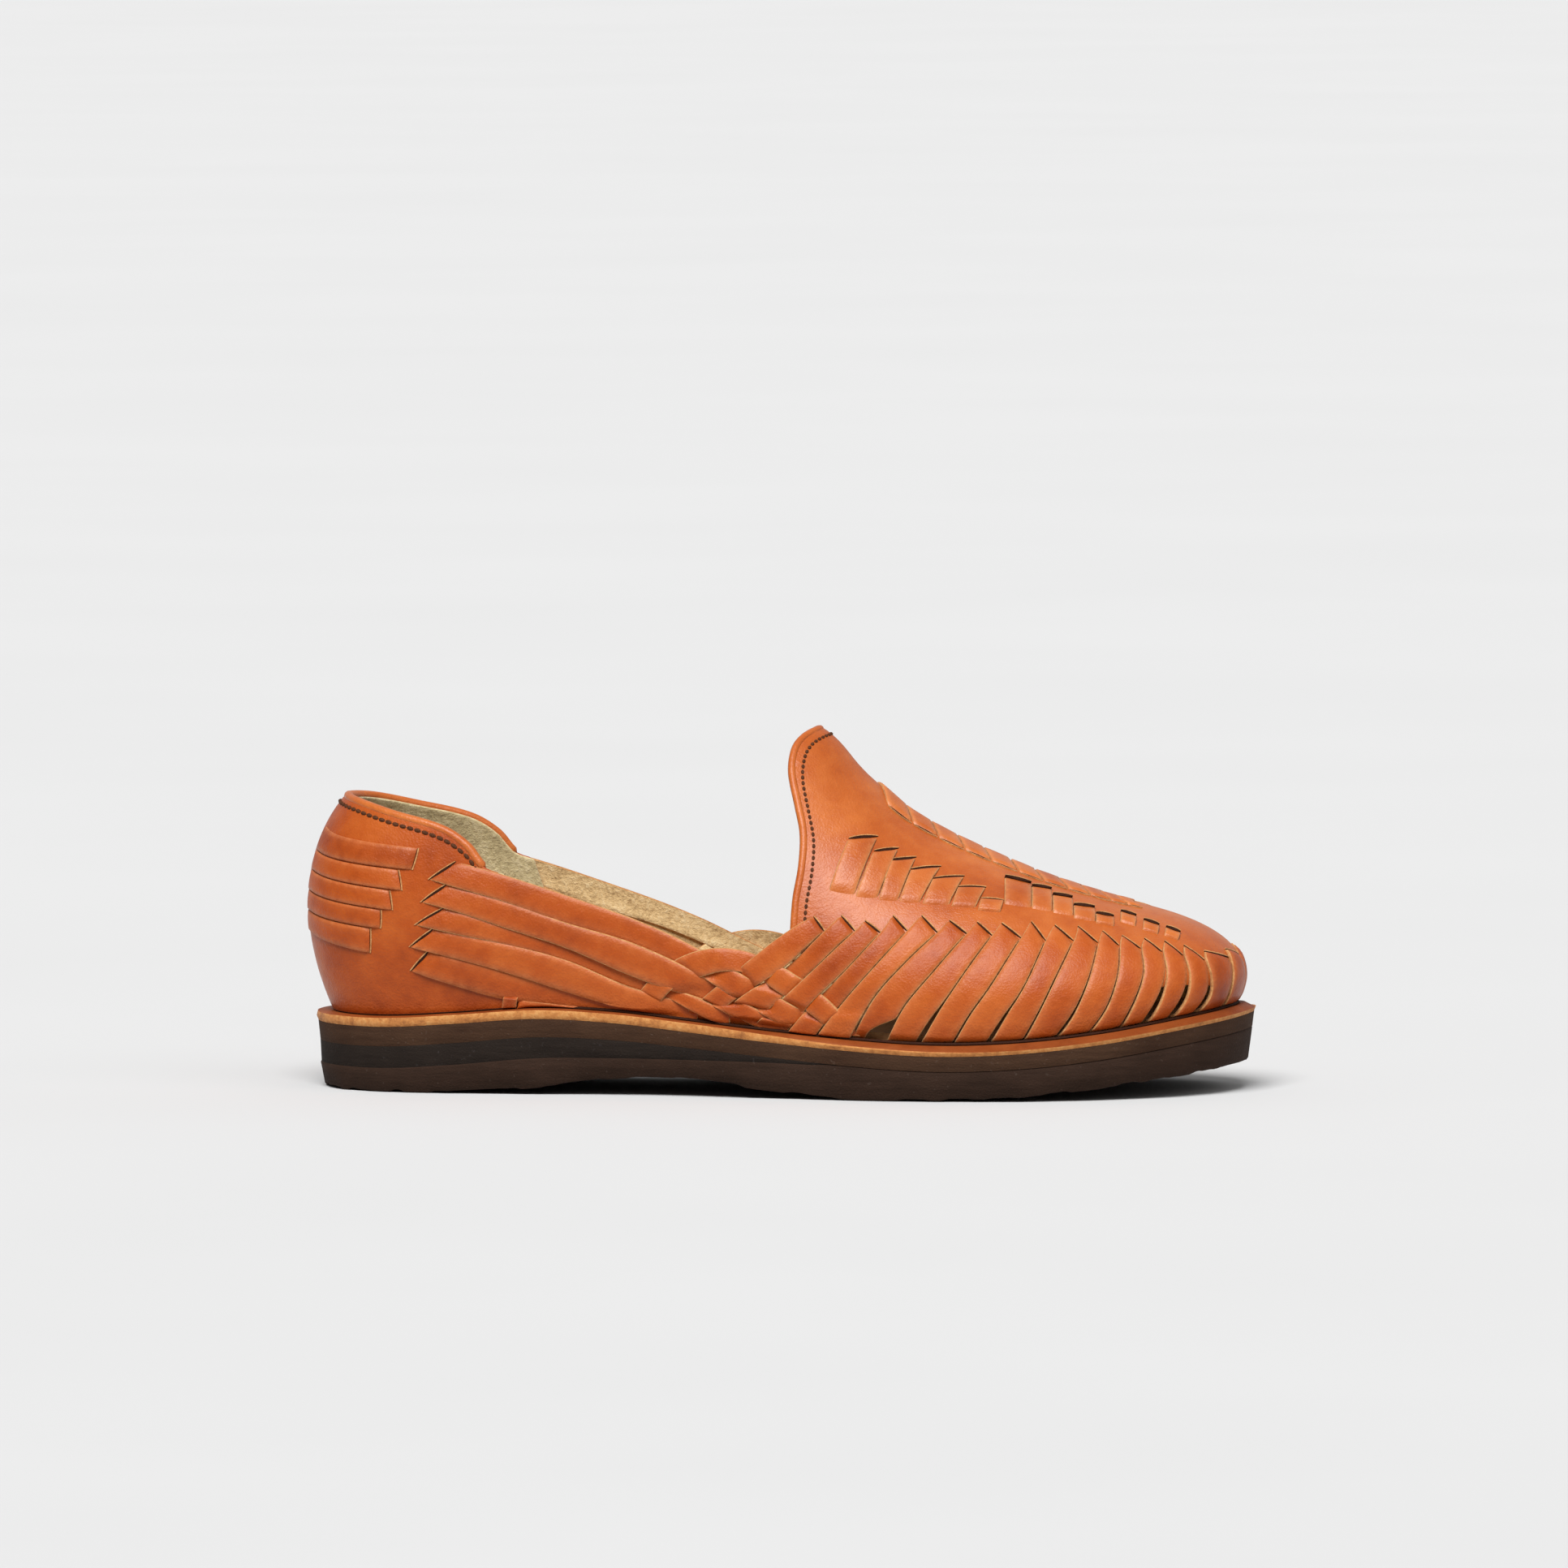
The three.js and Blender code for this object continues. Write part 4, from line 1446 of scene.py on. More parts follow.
@dataclass
class Upper:
    """What the pieces of the upper share: strips, beads and stitches laid on the last."""

    last: Last
    finishes: Finishes

    @staticmethod
    def sew_on(name: str, *pieces: bpy.types.Object) -> None:
        """Joins pieces of one kind and puts them on the shoe as part of its upper."""
        Bench.hand_over(Bench.join(name, pieces), "tan_leather", "upper")

    def band(
        self, name: str, side: int, spot: Patch, lift: Lift, cut: Cut
    ) -> bpy.types.Object:
        """Lays a strip of leather on the last.

        Args:
            name: The strip's name.
            side: The side that it lies on.
            spot: Gives u and h at a share along and a share across.
            lift: How far its middle stands off the last at a share along.
            cut: How it is cut.

        Returns:
            The strip.
        """
        piece = Bench.block(name, cut.columns, cut.rows)

        @cache
        def ground(s: float, t: float) -> tuple[Vector, Vector]:
            """The last's point under a place of the strip, and its normal there."""
            u, h = spot(s, t)
            return self.last.point(side, u, h), self.last.normal(side, u, h)

        def place(s: float, t: float, k: int) -> Vector:
            """Lays a point of the strip, crowned and rolled across.

            Args:
                s: Share along.
                t: Share across.
                k: 1 for its grain side, 0 for its flesh side.

            Returns:
                The point in metres.
            """
            point, normal = ground(s, t)
            off = 2 * t - 1
            stand = lift(s) - cut.crown * off * off + cut.roll * off - (0 if k else cut.thick)
            return self.last.world(point + normal * stand)

        grain = self.finishes.vamp if cut.pale else self.finishes.tan
        Bench.shape(piece, place, cut.tone, (grain, self.finishes.flesh, self.finishes.cut))
        return Bench.finish(piece, cut.bevel, 1)

    def slit(
        self, side: int, spot: Patch, gape: float, lift: float, at: float, lip: bool = False
    ) -> bpy.types.Object:
        """Makes the dark mouth of a slit across a strip, a sheet that paints the slit's shade, or
        the cut edge beside it.

        Args:
            side: The side that it lies on.
            spot: The strip's own places.
            gape: How wide it stands open.
            lift: How far it stands off the last.
            at: Where along the strip it lies.
            lip: Whether the cut edge is made in place of the mouth.

        Returns:
            The slit.
        """
        piece = Bench.block("slit", 2, 8)
        near = 0.04 if at < 0.5 else -0.04
        corner, deep, behind, lip_width = 0.1, 1.0, 0.4, 0.4

        def place(s: float, w: float, k: int) -> Vector:
            """Lays a point of the slit, which is widest in the middle of the strip.

            Args:
                s: Share of its width.
                w: Share across the strip.
                k: 1 on top, 0 underneath.

            Returns:
                The point in metres.
            """
            u, h = spot(at, w)
            point = self.last.point(side, u, h)
            along = (self.last.point(side, *spot(at + near, w)) - point).normalized()
            open_here = gape * (1 - (2 * w - 1) ** 2) + corner
            stand = lift if k else lift - deep
            normal = self.last.normal(side, u, h)
            if lip:
                off = -behind * open_here - lip_width * (1 - s)
            else:
                off = (s - behind) * open_here
            return self.last.world(point + along * off + normal * stand)

        # The mouth's dark finish paints the slit's shade; the lip takes the cut edge's finish.
        finish = self.finishes.cut if lip else self.finishes.slit
        Bench.shape(piece, place, 0.2, (finish,), worn=False)
        return Bench.finish(piece)

    def mouth(
        self, side: int, spot: Patch, gape: float, lift: float, at: float = 0.0
    ) -> tuple[bpy.types.Object, bpy.types.Object]:
        """Makes both parts of a slit.

        Args:
            side: The side that it lies on.
            spot: The strip's own places.
            gape: How wide it stands open.
            lift: How far its dark part stands off the last.
            at: Where along the strip it lies.

        Returns:
            The dark part, which paints the shade inside the slit, and the cut edge, which stands a
            little higher.
        """
        higher = 0.1
        dark = self.slit(side, spot, gape, lift, at)
        return dark, self.slit(side, spot, gape, lift + higher, at, lip=True)

    def bead(
        self,
        name: str,
        path: Sequence[Vector],
        radius: float,
        finish: bpy.types.Material,
        around: int = 10,
    ) -> bpy.types.Object:
        """Makes a rolled edge along a path.

        Args:
            name: The bead's name.
            path: Points in shoe millimetres.
            radius: Half its thickness.
            finish: Its material.
            around: Faces around it.

        Returns:
            The bead, closed at both ends.
        """
        count = len(path) - 1
        piece = Bench.block(name, count, around, 0)

        def place(s: float, t: float, k: int) -> Vector:
            """Lays a point of the bead, drawn in to the path at both ends.

            Args:
                s: Share along.
                t: Share of the way around.
                k: Always 0, as it is hollow.

            Returns:
                The point in metres.
            """
            i = round(s * count)
            along = (path[min(i + 1, count)] - path[max(i - 1, 0)]).normalized()
            side = along.cross(Vector((0, 0, 1))).normalized()
            up = side.cross(along)
            angle = 2 * math.pi * t
            wide = 0.0 if i in (0, count) else radius
            return self.last.world(
                path[i] + side * (wide * math.cos(angle)) + up * (wide * math.sin(angle))
            )

        Bench.shape(piece, place, 0.75, (finish,), worn=False)
        return Bench.finish(piece)

    def stitches(
        self,
        name: str,
        path: Sequence[Vector],
        normals: Sequence[Vector],
        pitch: float,
        size: tuple[float, float, float],
    ) -> bpy.types.Object:
        """Sews a row of stitches along a path.

        Args:
            name: The row's name.
            path: Points in shoe millimetres.
            normals: The outward normal at each point.
            pitch: Distance between stitches.
            size: Half length, half width and half height of a stitch.

        Returns:
            The row as one object.
        """
        Bench.clear()
        bpy.ops.mesh.primitive_uv_sphere_add(segments=8, ring_count=5, radius=1.0)
        model = bpy.context.object
        shape = [v.co.copy() for v in model.data.vertices]
        faces = [tuple(face.vertices) for face in model.data.polygons]
        bpy.data.objects.remove(model)
        points, polygons = [], []
        long, wide, high = size
        run = 0.0
        for i in range(len(path) - 1):
            step = path[i + 1] - path[i]
            along = step.normalized()
            up = normals[i]
            across = along.cross(up).normalized()
            while run < step.length:
                spot = path[i] + step * (run / step.length)
                start = len(points)
                for p in shape:
                    off = along * (p.x * long) + across * (p.y * wide) + up * (p.z * high)
                    points.append(self.last.world(spot + off))
                polygons += [tuple(v + start for v in face) for face in faces]
                run += pitch
            run -= step.length
        mesh = bpy.data.meshes.new(name)
        mesh.from_pydata(points, [], polygons)
        mesh.materials.append(self.finishes.thread)
        row = bpy.data.objects.new(name, mesh)
        bpy.context.scene.collection.objects.link(row)
        return Bench.finish(row)

    @staticmethod
    def waves(marks: Sequence[LiftMark]) -> Lift:
        """Draws a smooth lift through its marks.

        Args:
            marks: The lifts at shares along, in any order.

        Returns:
            The lift at any share along.
        """
        ordered = sorted(marks)
        least = 1e-6

        def lift(t: float) -> float:
            """The lift between the two marks beside t.

            Args:
                t: Share along.

            Returns:
                The lift.
            """
            for a, b in zip(ordered, ordered[1:]):
                if t <= b.along:
                    step = ease((t - a.along) / max(b.along - a.along, least))
                    return a.lift + (b.lift - a.lift) * step
            return ordered[-1].lift

        return lift


@dataclass
class Vamp(Upper):
    """The one-piece vamp and tongue, its folded edge and its stitching."""

    lines: Sequence[Line]
    thick: float = 1.3
    stand: float = 0.3
    hem_drop: float = 0.5
    hem_run: float = 0.08
    swell: float = 1.5
    swell_end: float = 0.09
    swell_lead: float = 0.035
    corner: Spot = Spot(149.4, 43.0)
    hem_share: float = 0.42
    toe_hem: float = 0.2
    toe_from: int = 7
    toe_run: int = 6
    hem_overlap: float = 0.02
    edge_range: tuple[float, float] = (0.42, 0.62)
    crest: float = 0.999
    faces_a_strip: int = 5
    rows: int = 72
    edge_steps: int = 48
    rim_radius: float = 1.25
    sewn_from: float = 53.5
    stitch_pitch: float = 2.0
    stitch_size: tuple[float, float, float] = (0.8, 0.55, 0.4)

    def __post_init__(self) -> None:
        """Finds the vamp's hem, which the side strips cover."""
        self.edge = SmoothTable([(spot.z, spot.x) for spot in TONGUE])
        self.hem = [self.last.find(self.corner)]
        for k, line in enumerate(self.lines[1:]):
            toe = ease((k - self.toe_from) / self.toe_run)
            self.hem.append(line.at(self.hem_share + self.toe_hem * toe))

    def edge_u(self, side: int, h: float) -> float:
        """Finds the tongue's edge.

        Args:
            side: The side.
            h: The height on the last.

        Returns:
            u of the edge there.
        """

        def behind(u: float) -> bool:
            """Whether a place lies behind the edge."""
            here = self.last.point(side, u, h)
            return here.x < self.edge.at(here.z)[0]

        return end_of_run(*self.edge_range, behind)

    def build(self) -> None:
        """Builds the vamp with its folded edge and stitch row."""
        self.sheet()
        self.rim()

    def lift(self, share: float, up: float) -> float:
        """Finds how far the vamp stands off the last, with its hem down and its tip swollen.

        Args:
            share: From the tongue's edge (0) to the toe (1).
            up: From the hem (0) to the ridge (1).

        Returns:
            The lift there.
        """
        lift = self.stand - self.hem_drop * (1 - ease(up / self.hem_run))
        if share < self.swell_end:
            turn = (share + self.swell_lead) / (self.swell_end + self.swell_lead)
            lift += self.swell * math.sin(math.pi * turn) ** 2 * ease((up - 0.5) / 0.5)
        return lift

    def sheet(self) -> None:
        """Lays the vamp's leather over the last, from the tongue's edge to the toe."""
        strips, hair = len(self.hem) - 1, 1e-6
        piece = Bench.block("vamp_sheet", strips * self.faces_a_strip, self.rows)
        ridges = {side: self.edge_u(side, self.crest) for side in Side}
        first_u, first_h = self.hem[0]

        @cache
        def bend(side: Side, up: float) -> float:
            """How far a row starts from a straight line between the hem and the ridge."""
            straight = first_u + (ridges[side] - first_u) * up
            return self.edge_u(side, first_h + (1 - first_h) * up) - straight

        def place(s: float, t: float, k: int) -> Vector:
            """Lays a point of the sheet, bent to the tongue's edge at its back.

            Args:
                s: Share along.
                t: Share across.
                k: 1 for its grain side, 0 for its flesh side.

            Returns:
                The point in metres.
            """
            side = Side.OUTSIDE if t <= 0.5 else Side.INSIDE
            up = 2 * t if t <= 0.5 else 2 - 2 * t
            run = s * strips
            i = min(int(run + hair), strips - 1)
            low_u, low_h = part_way(self.hem[i], self.hem[i + 1], run - i)
            share = (low_u - first_u) / (1 - first_u)
            top_u = ridges[side] + (1 - ridges[side]) * share
            u = low_u + (top_u - low_u) * up + bend(side, up) * (1 - share) ** 3
            h = low_h + (1 - low_h) * up
            lift = self.lift(share, up) - (0 if k else self.thick)
            return self.last.world(self.last.lifted(side, u, h, lift))

        leathers = (self.finishes.vamp, self.finishes.flesh, self.finishes.cut)
        Bench.shape(piece, place, 0.6, leathers, worn=False, open_end=True)
        self.sew_on("vamp_sheet", Bench.finish(piece, 0.2, 1))

    def edge_path(
        self, inset: float, lift: float, tip: float
    ) -> tuple[list[Vector], list[Vector]]:
        """Follows the tongue's edge from the outside over the tip to the inside.

        Args:
            inset: Distance in from the edge.
            lift: How far off the last.
            tip: How much further off it is at the tip.

        Returns:
            Points, and the normals there.
        """
        points, normals = [], []
        steps, near = self.edge_steps, 0.01
        low = self.hem[0][1] - self.hem_overlap
        places = [(Side.OUTSIDE, low + (1 - low) * i / steps) for i in range(steps)]
        places += [(Side.INSIDE, 1 - (1 - low) * i / steps) for i in range(steps + 1)]
        for side, h in places:
            top = min(h, self.crest)
            u = self.edge_u(side, top)
            reach = self.last.point(side, u + near, h) - self.last.point(side, u, h)
            u += inset * near / reach.length
            rise = tip * ease(((h - low) / (1 - low) - 0.5) / 0.5)
            points.append(self.last.lifted(side, u, top, lift + rise))
            normals.append(self.last.normal(side, u, top))
        return points, normals

    def rim(self) -> None:
        """Folds the tongue's edge and sews it."""
        path, _ = self.edge_path(inset=0.3, lift=-0.25, tip=0.6)
        self.sew_on(
            "tongue_rim", self.bead("tongue_rim", path, self.rim_radius, self.finishes.vamp)
        )
        path, normals = self.edge_path(inset=3.9, lift=0.35, tip=1.4)
        sewn = [i for i, point in enumerate(path) if point.z > self.sewn_from]
        path, normals = [path[i] for i in sewn], [normals[i] for i in sewn]
        row = self.stitches("tongue_stitches", path, normals, self.stitch_pitch, self.stitch_size)
        self.sew_on("tongue_stitches", row)


@dataclass
class Weave(Upper):
    """The side strips, the quarter straps they cross, and the short strips on the vamp."""

    over: float = 1.75
    under: float = 0.15
    half_width: float = 2.7
    room: float = 5.5
    tuck: float = 0.03
    foot_seam: float = 0.97
    seam_room: float = 1.25
    notch: float = 0.25
    overlap: float = 0.06
    woven_strips: int = 8
    woven_straps: int = 6
    loop_straps: int = 5
    toe_from: int = 9
    toe_run: int = 5
    toe_drop: float = 0.5
    high: float = 1.5
    steep_tabs: int = 7
    crest_h: float = 1.13
    crest_run: float = 0.24
    crest_slant: float = 0.016

    def lines(self) -> list[Line]:
        """Draws the lines between the side strips.

        Returns:
            The lines, from the waist round to the middle of the toe.
        """
        lines = []
        for row in STRIP_EDGES:
            places = [self.last.find(spot) for spot in (row.peak, row.notch, row.middle, row.low)]
            lines.append(Line([*places, (self.last.foot_mark(row.foot)[0], 0.0)]))
        heights = [*(lines[-1].at(t)[1] for t in (0.0, 0.25, 0.5, 0.75)), 0.0]
        steps = len(heights) - 1
        for top, foot in TOE_EDGES:
            lines.append(
                Line([(top + (foot - top) * i / steps, h) for i, h in enumerate(heights)])
            )
        return lines

    def strip_patch(self, back: Line, front: Line, opening: Opening, seam: float) -> Patch:
        """The places of a side strip between two lines.

        Args:
            back: The line on its heel side.
            front: The line on its toe side.
            opening: The gap at its foot.
            seam: The share that stays open all along.

        Returns:
            u and h for a share along and a share across.
        """
        open_run = self.foot_seam - opening.start

        def spot(s: float, t: float) -> tuple[float, float]:
            """A place of the strip, which starts under the vamp and gapes at its foot.

            Args:
                s: Share along.
                t: Share across.

            Returns:
                u and h.
            """
            along = s * (1 + self.tuck) - self.tuck
            gap = opening.share * ease((along - opening.start) / open_run)
            share = seam + (1 - self.seam_room * seam - gap) * t
            toe_side = front.at(self.notch + (1 - self.notch) * along)
            return part_way(back.at(along), toe_side, share)

        return spot

    def strap_patch(self, number: int) -> Patch:
        """The places of a quarter strap.

        Args:
            number: Which strap, from the top.

        Returns:
            u and h for a share along and a share across.
        """
        heights = SmoothTable(STRAP_EDGES)
        ends = STRAPS[number]

        def height(x: float, t: float) -> float:
            """Height in side view at x and a share across."""
            rows = heights.at(x)
            return rows[number + 1] + (rows[number] - rows[number + 1]) * t

        @cache
        def limit(t: float) -> float:
            """x where the strap ends or goes under the sole's edge.

            Args:
                t: Share across.

            Returns:
                That x.
            """

            def above(x: float) -> bool:
                """Whether the strap is still above the foot line."""
                return height(x, t) > self.last.foot_mark(x)[1]

            return ends.end if above(ends.end) else end_of_run(ends.upper, ends.end, above)

        def spot(s: float, t: float) -> tuple[float, float]:
            """A place of the strap, whose lower edge lies under the next one.

            Args:
                s: Share along.
                t: Share across.

            Returns:
                u and h.
            """
            share = (1 + self.overlap) * t - self.overlap
            start = ends.lower + (ends.upper - ends.lower) * share
            x = start + (limit(share) - start) * s
            return self.last.find(Spot(x, height(x, share)))

        return spot

    def loop_patch(self) -> Patch:
        """The places of the strap that loops over the collar's lowest place.

        Returns:
            u and h for a share along and a share across.
        """
        upper = Line([self.last.find(row.upper) for row in COLLAR_LOOP])
        lower = Line([self.last.find(row.lower) for row in COLLAR_LOOP])
        return lambda s, t: part_way(lower.at(s), upper.at(s), t)

    def crossing(self, a: Patch, b: Patch) -> Crossing | None:
        """Where the middles of two strips cross.

        Args:
            a: One strip's places.
            b: The other's.

        Returns:
            The crossing, or None where there is none.
        """
        steps, parallel = 40, 1e-12
        line_a = [Vector(a(i / steps, 0.5)) for i in range(steps + 1)]
        line_b = [Vector(b(i / steps, 0.5)) for i in range(steps + 1)]
        for i in range(steps):
            p, r = line_a[i], line_a[i + 1] - line_a[i]
            for j in range(steps):
                q, s = line_b[j], line_b[j + 1] - line_b[j]
                det = r.x * s.y - r.y * s.x
                if abs(det) < parallel:
                    continue
                off = q - p
                on_a = (off.x * s.y - off.y * s.x) / det
                on_b = (off.x * r.y - off.y * r.x) / det
                if 0 <= on_a < 1 and 0 <= on_b < 1:
                    runs = self.run(line_a), self.run(line_b)
                    return Crossing((i + on_a) / steps, (j + on_b) / steps, *runs)
        return None

    def run(self, line: Sequence[Vector]) -> float:
        """The length in millimetres of a line of places."""
        marks = [self.last.point(Side.OUTSIDE, *place) for place in line]
        return sum((b - a).length for a, b in zip(marks, marks[1:]))

    def build(self, lines: Sequence[Line]) -> None:
        """Builds the weave of both sides.

        Args:
            lines: The lines between the side strips.
        """
        pairs = list(zip(lines, lines[1:]))
        straps = [cache(self.loop_patch())]
        straps += [cache(self.strap_patch(n)) for n in range(len(STRAPS))]
        for side, label, slack, seam in WEAVE_SIDES:
            strips = []
            for (back, front), row in zip(pairs, OPENINGS):
                opening = Opening(row.share * slack, row.start)
                strips.append(cache(self.strip_patch(back, front, opening, seam)))
            self.weave(side, label, strips, straps)
            self.tabs(side, label)

    def strip_lifts(self, number: int) -> list[LiftMark]:
        """Finds the lifts of a side strip before it is woven, lower round the toe.

        Args:
            number: Which strip, from the waist.

        Returns:
            Its lifts.
        """
        drop = self.toe_drop * ease((number - self.toe_from) / self.toe_run)
        return [
            LiftMark(mark.along, mark.lift - drop if mark.lift > self.high else mark.lift)
            for mark in STRIP_LIFTS
        ]

    def weave(
        self, side: int, label: str, strips: Sequence[Patch], straps: Sequence[Patch]
    ) -> None:
        """Weaves the side strips and straps of one side.

        Args:
            side: The side.
            label: What it is called in piece names.
            strips: The places of the side strips.
            straps: The places of the straps, the looped one first.
        """
        strip_marks = [self.strip_lifts(k) for k in range(len(strips))]
        strap_marks = [list(STRAP_LIFTS if n else LOOP_LIFTS) for n in range(len(straps))]
        for n in range(1, self.loop_straps):
            self.cross(straps[0], straps[n], strap_marks[0], strap_marks[n], n % 2 == 1)
        for k in range(self.woven_strips):
            for n in range(self.woven_straps):
                a_over = (k + n) % 2 == 0
                self.cross(strips[k], straps[n], strip_marks[k], strap_marks[n], a_over)
        made, mouths = [], []
        for k, strip in enumerate(strips):
            tone = 0.42 + 0.3 * scatter(k + 3 * side)
            columns = 60 if k < self.woven_strips else 36
            cut = Cut(thick=1.35, tone=tone, crown=0.22, roll=-0.16, columns=columns)
            made.append(self.band(f"strip_{k}", side, strip, self.waves(strip_marks[k]), cut))
            mouths.append(self.mouth(side, strip, gape=0.5, lift=0.6, at=self.tuck))
        self.sew_on(f"side_strips_{label}", *made)
        made = []
        for n, strap in enumerate(straps):
            tone = 0.4 + 0.3 * scatter(n + 40 + 7 * side)
            cut = Cut(thick=1.3, tone=tone, crown=0.2, roll=-0.24, columns=96)
            made.append(self.band(f"strap_{n}", side, strap, self.waves(strap_marks[n]), cut))
            if n:
                mouths.append(self.mouth(side, strap, gape=0.9, lift=1.2))
        loop, cut = self.tab_patch(TAIL_LOOP), Cut(thick=1.2, tone=0.3, crown=0.1)
        made.append(self.band("tail_loop", side, loop, self.waves(TAIL_LIFTS), cut))
        self.sew_on(f"quarter_straps_{label}", *made)
        self.sew_on(f"weave_lips_{label}", *(lip for _, lip in mouths))
        # Dark sheets of painted shade in the slits of the strips and straps.
        self.sew_on(f"weave_slit_shade_{label}", *(dark for dark, _ in mouths))

    def cross(
        self,
        a: Patch,
        b: Patch,
        a_marks: list[LiftMark],
        b_marks: list[LiftMark],
        a_over: bool,
    ) -> None:
        """Lifts one strip over another where they cross.

        Args:
            a: One strip's places.
            b: The other's.
            a_marks: The first one's lifts, which it changes.
            b_marks: The other's.
            a_over: Whether the first lies on top.
        """
        met = self.crossing(a, b)
        if met is None:
            return
        for marks, at, run, over in (
            (a_marks, met.along_a, met.run_a, a_over),
            (b_marks, met.along_b, met.run_b, not a_over),
        ):
            marks[:] = [
                mark
                for mark in marks
                if mark.lift in (self.over, self.under)
                or mark.along in (0.0, 1.0)
                or abs(mark.along - at) > self.room / run
            ]
            lift, half = self.over if over else self.under, self.half_width / run
            marks += [LiftMark(at - half, lift), LiftMark(at + half, lift)]

    def tab_patch(self, row: Tab) -> Patch:
        """The places of a short strip between its four corners.

        Args:
            row: The corners.

        Returns:
            u and h for a share along and a share across.
        """
        back, front, back_foot, front_foot = (self.last.find(spot) for spot in row)
        return lambda s, t: part_way(
            part_way(back, front, t), part_way(back_foot, front_foot, t), s
        )

    def crest_patch(self, row: CrestTab) -> Patch:
        """The places of a short strip that lies beyond the vamp's crest.

        Args:
            row: Its two edges.

        Returns:
            u and h for a share along and a share across.
        """
        return lambda s, t: (
            row.back + (row.front - row.back) * t - self.crest_slant * s,
            self.crest_h - self.crest_run * s,
        )

    def tabs(self, side: int, label: str) -> None:
        """Builds the short strips that show on top of the vamp.

        Args:
            side: The side.
            label: What it is called in piece names.
        """
        patches = [self.tab_patch(row) for row in TABS]
        if side == Side.INSIDE:
            patches += [self.crest_patch(row) for row in CREST_TABS]
        made, mouths = [], []
        lift = self.waves(TAB_LIFTS)
        for n, spot in enumerate(patches):
            # A raised tone and the paler vamp leather: painted highlight on the tabs, over their
            # own uneven tone.
            tone = 0.5 + 0.5 * scatter(n + 90 + side)
            cut = Cut(thick=1.2, tone=tone, crown=0.1, columns=14, pale=True)
            made.append(self.band(f"tab_{n}", side, spot, lift, cut))
            flat = self.steep_tabs <= n < len(TABS)
            gape, stand = (1.7, 1.35) if flat else (1.1, 0.55)
            mouths.append(self.mouth(side, spot, gape, stand))
        self.sew_on(f"vamp_tabs_{label}", *made)
        self.sew_on(f"vamp_lips_{label}", *(lip for _, lip in mouths))
        # Dark sheets of painted shade in the slits of the tabs.
        self.sew_on(f"vamp_slit_shade_{label}", *(dark for dark, _ in mouths))


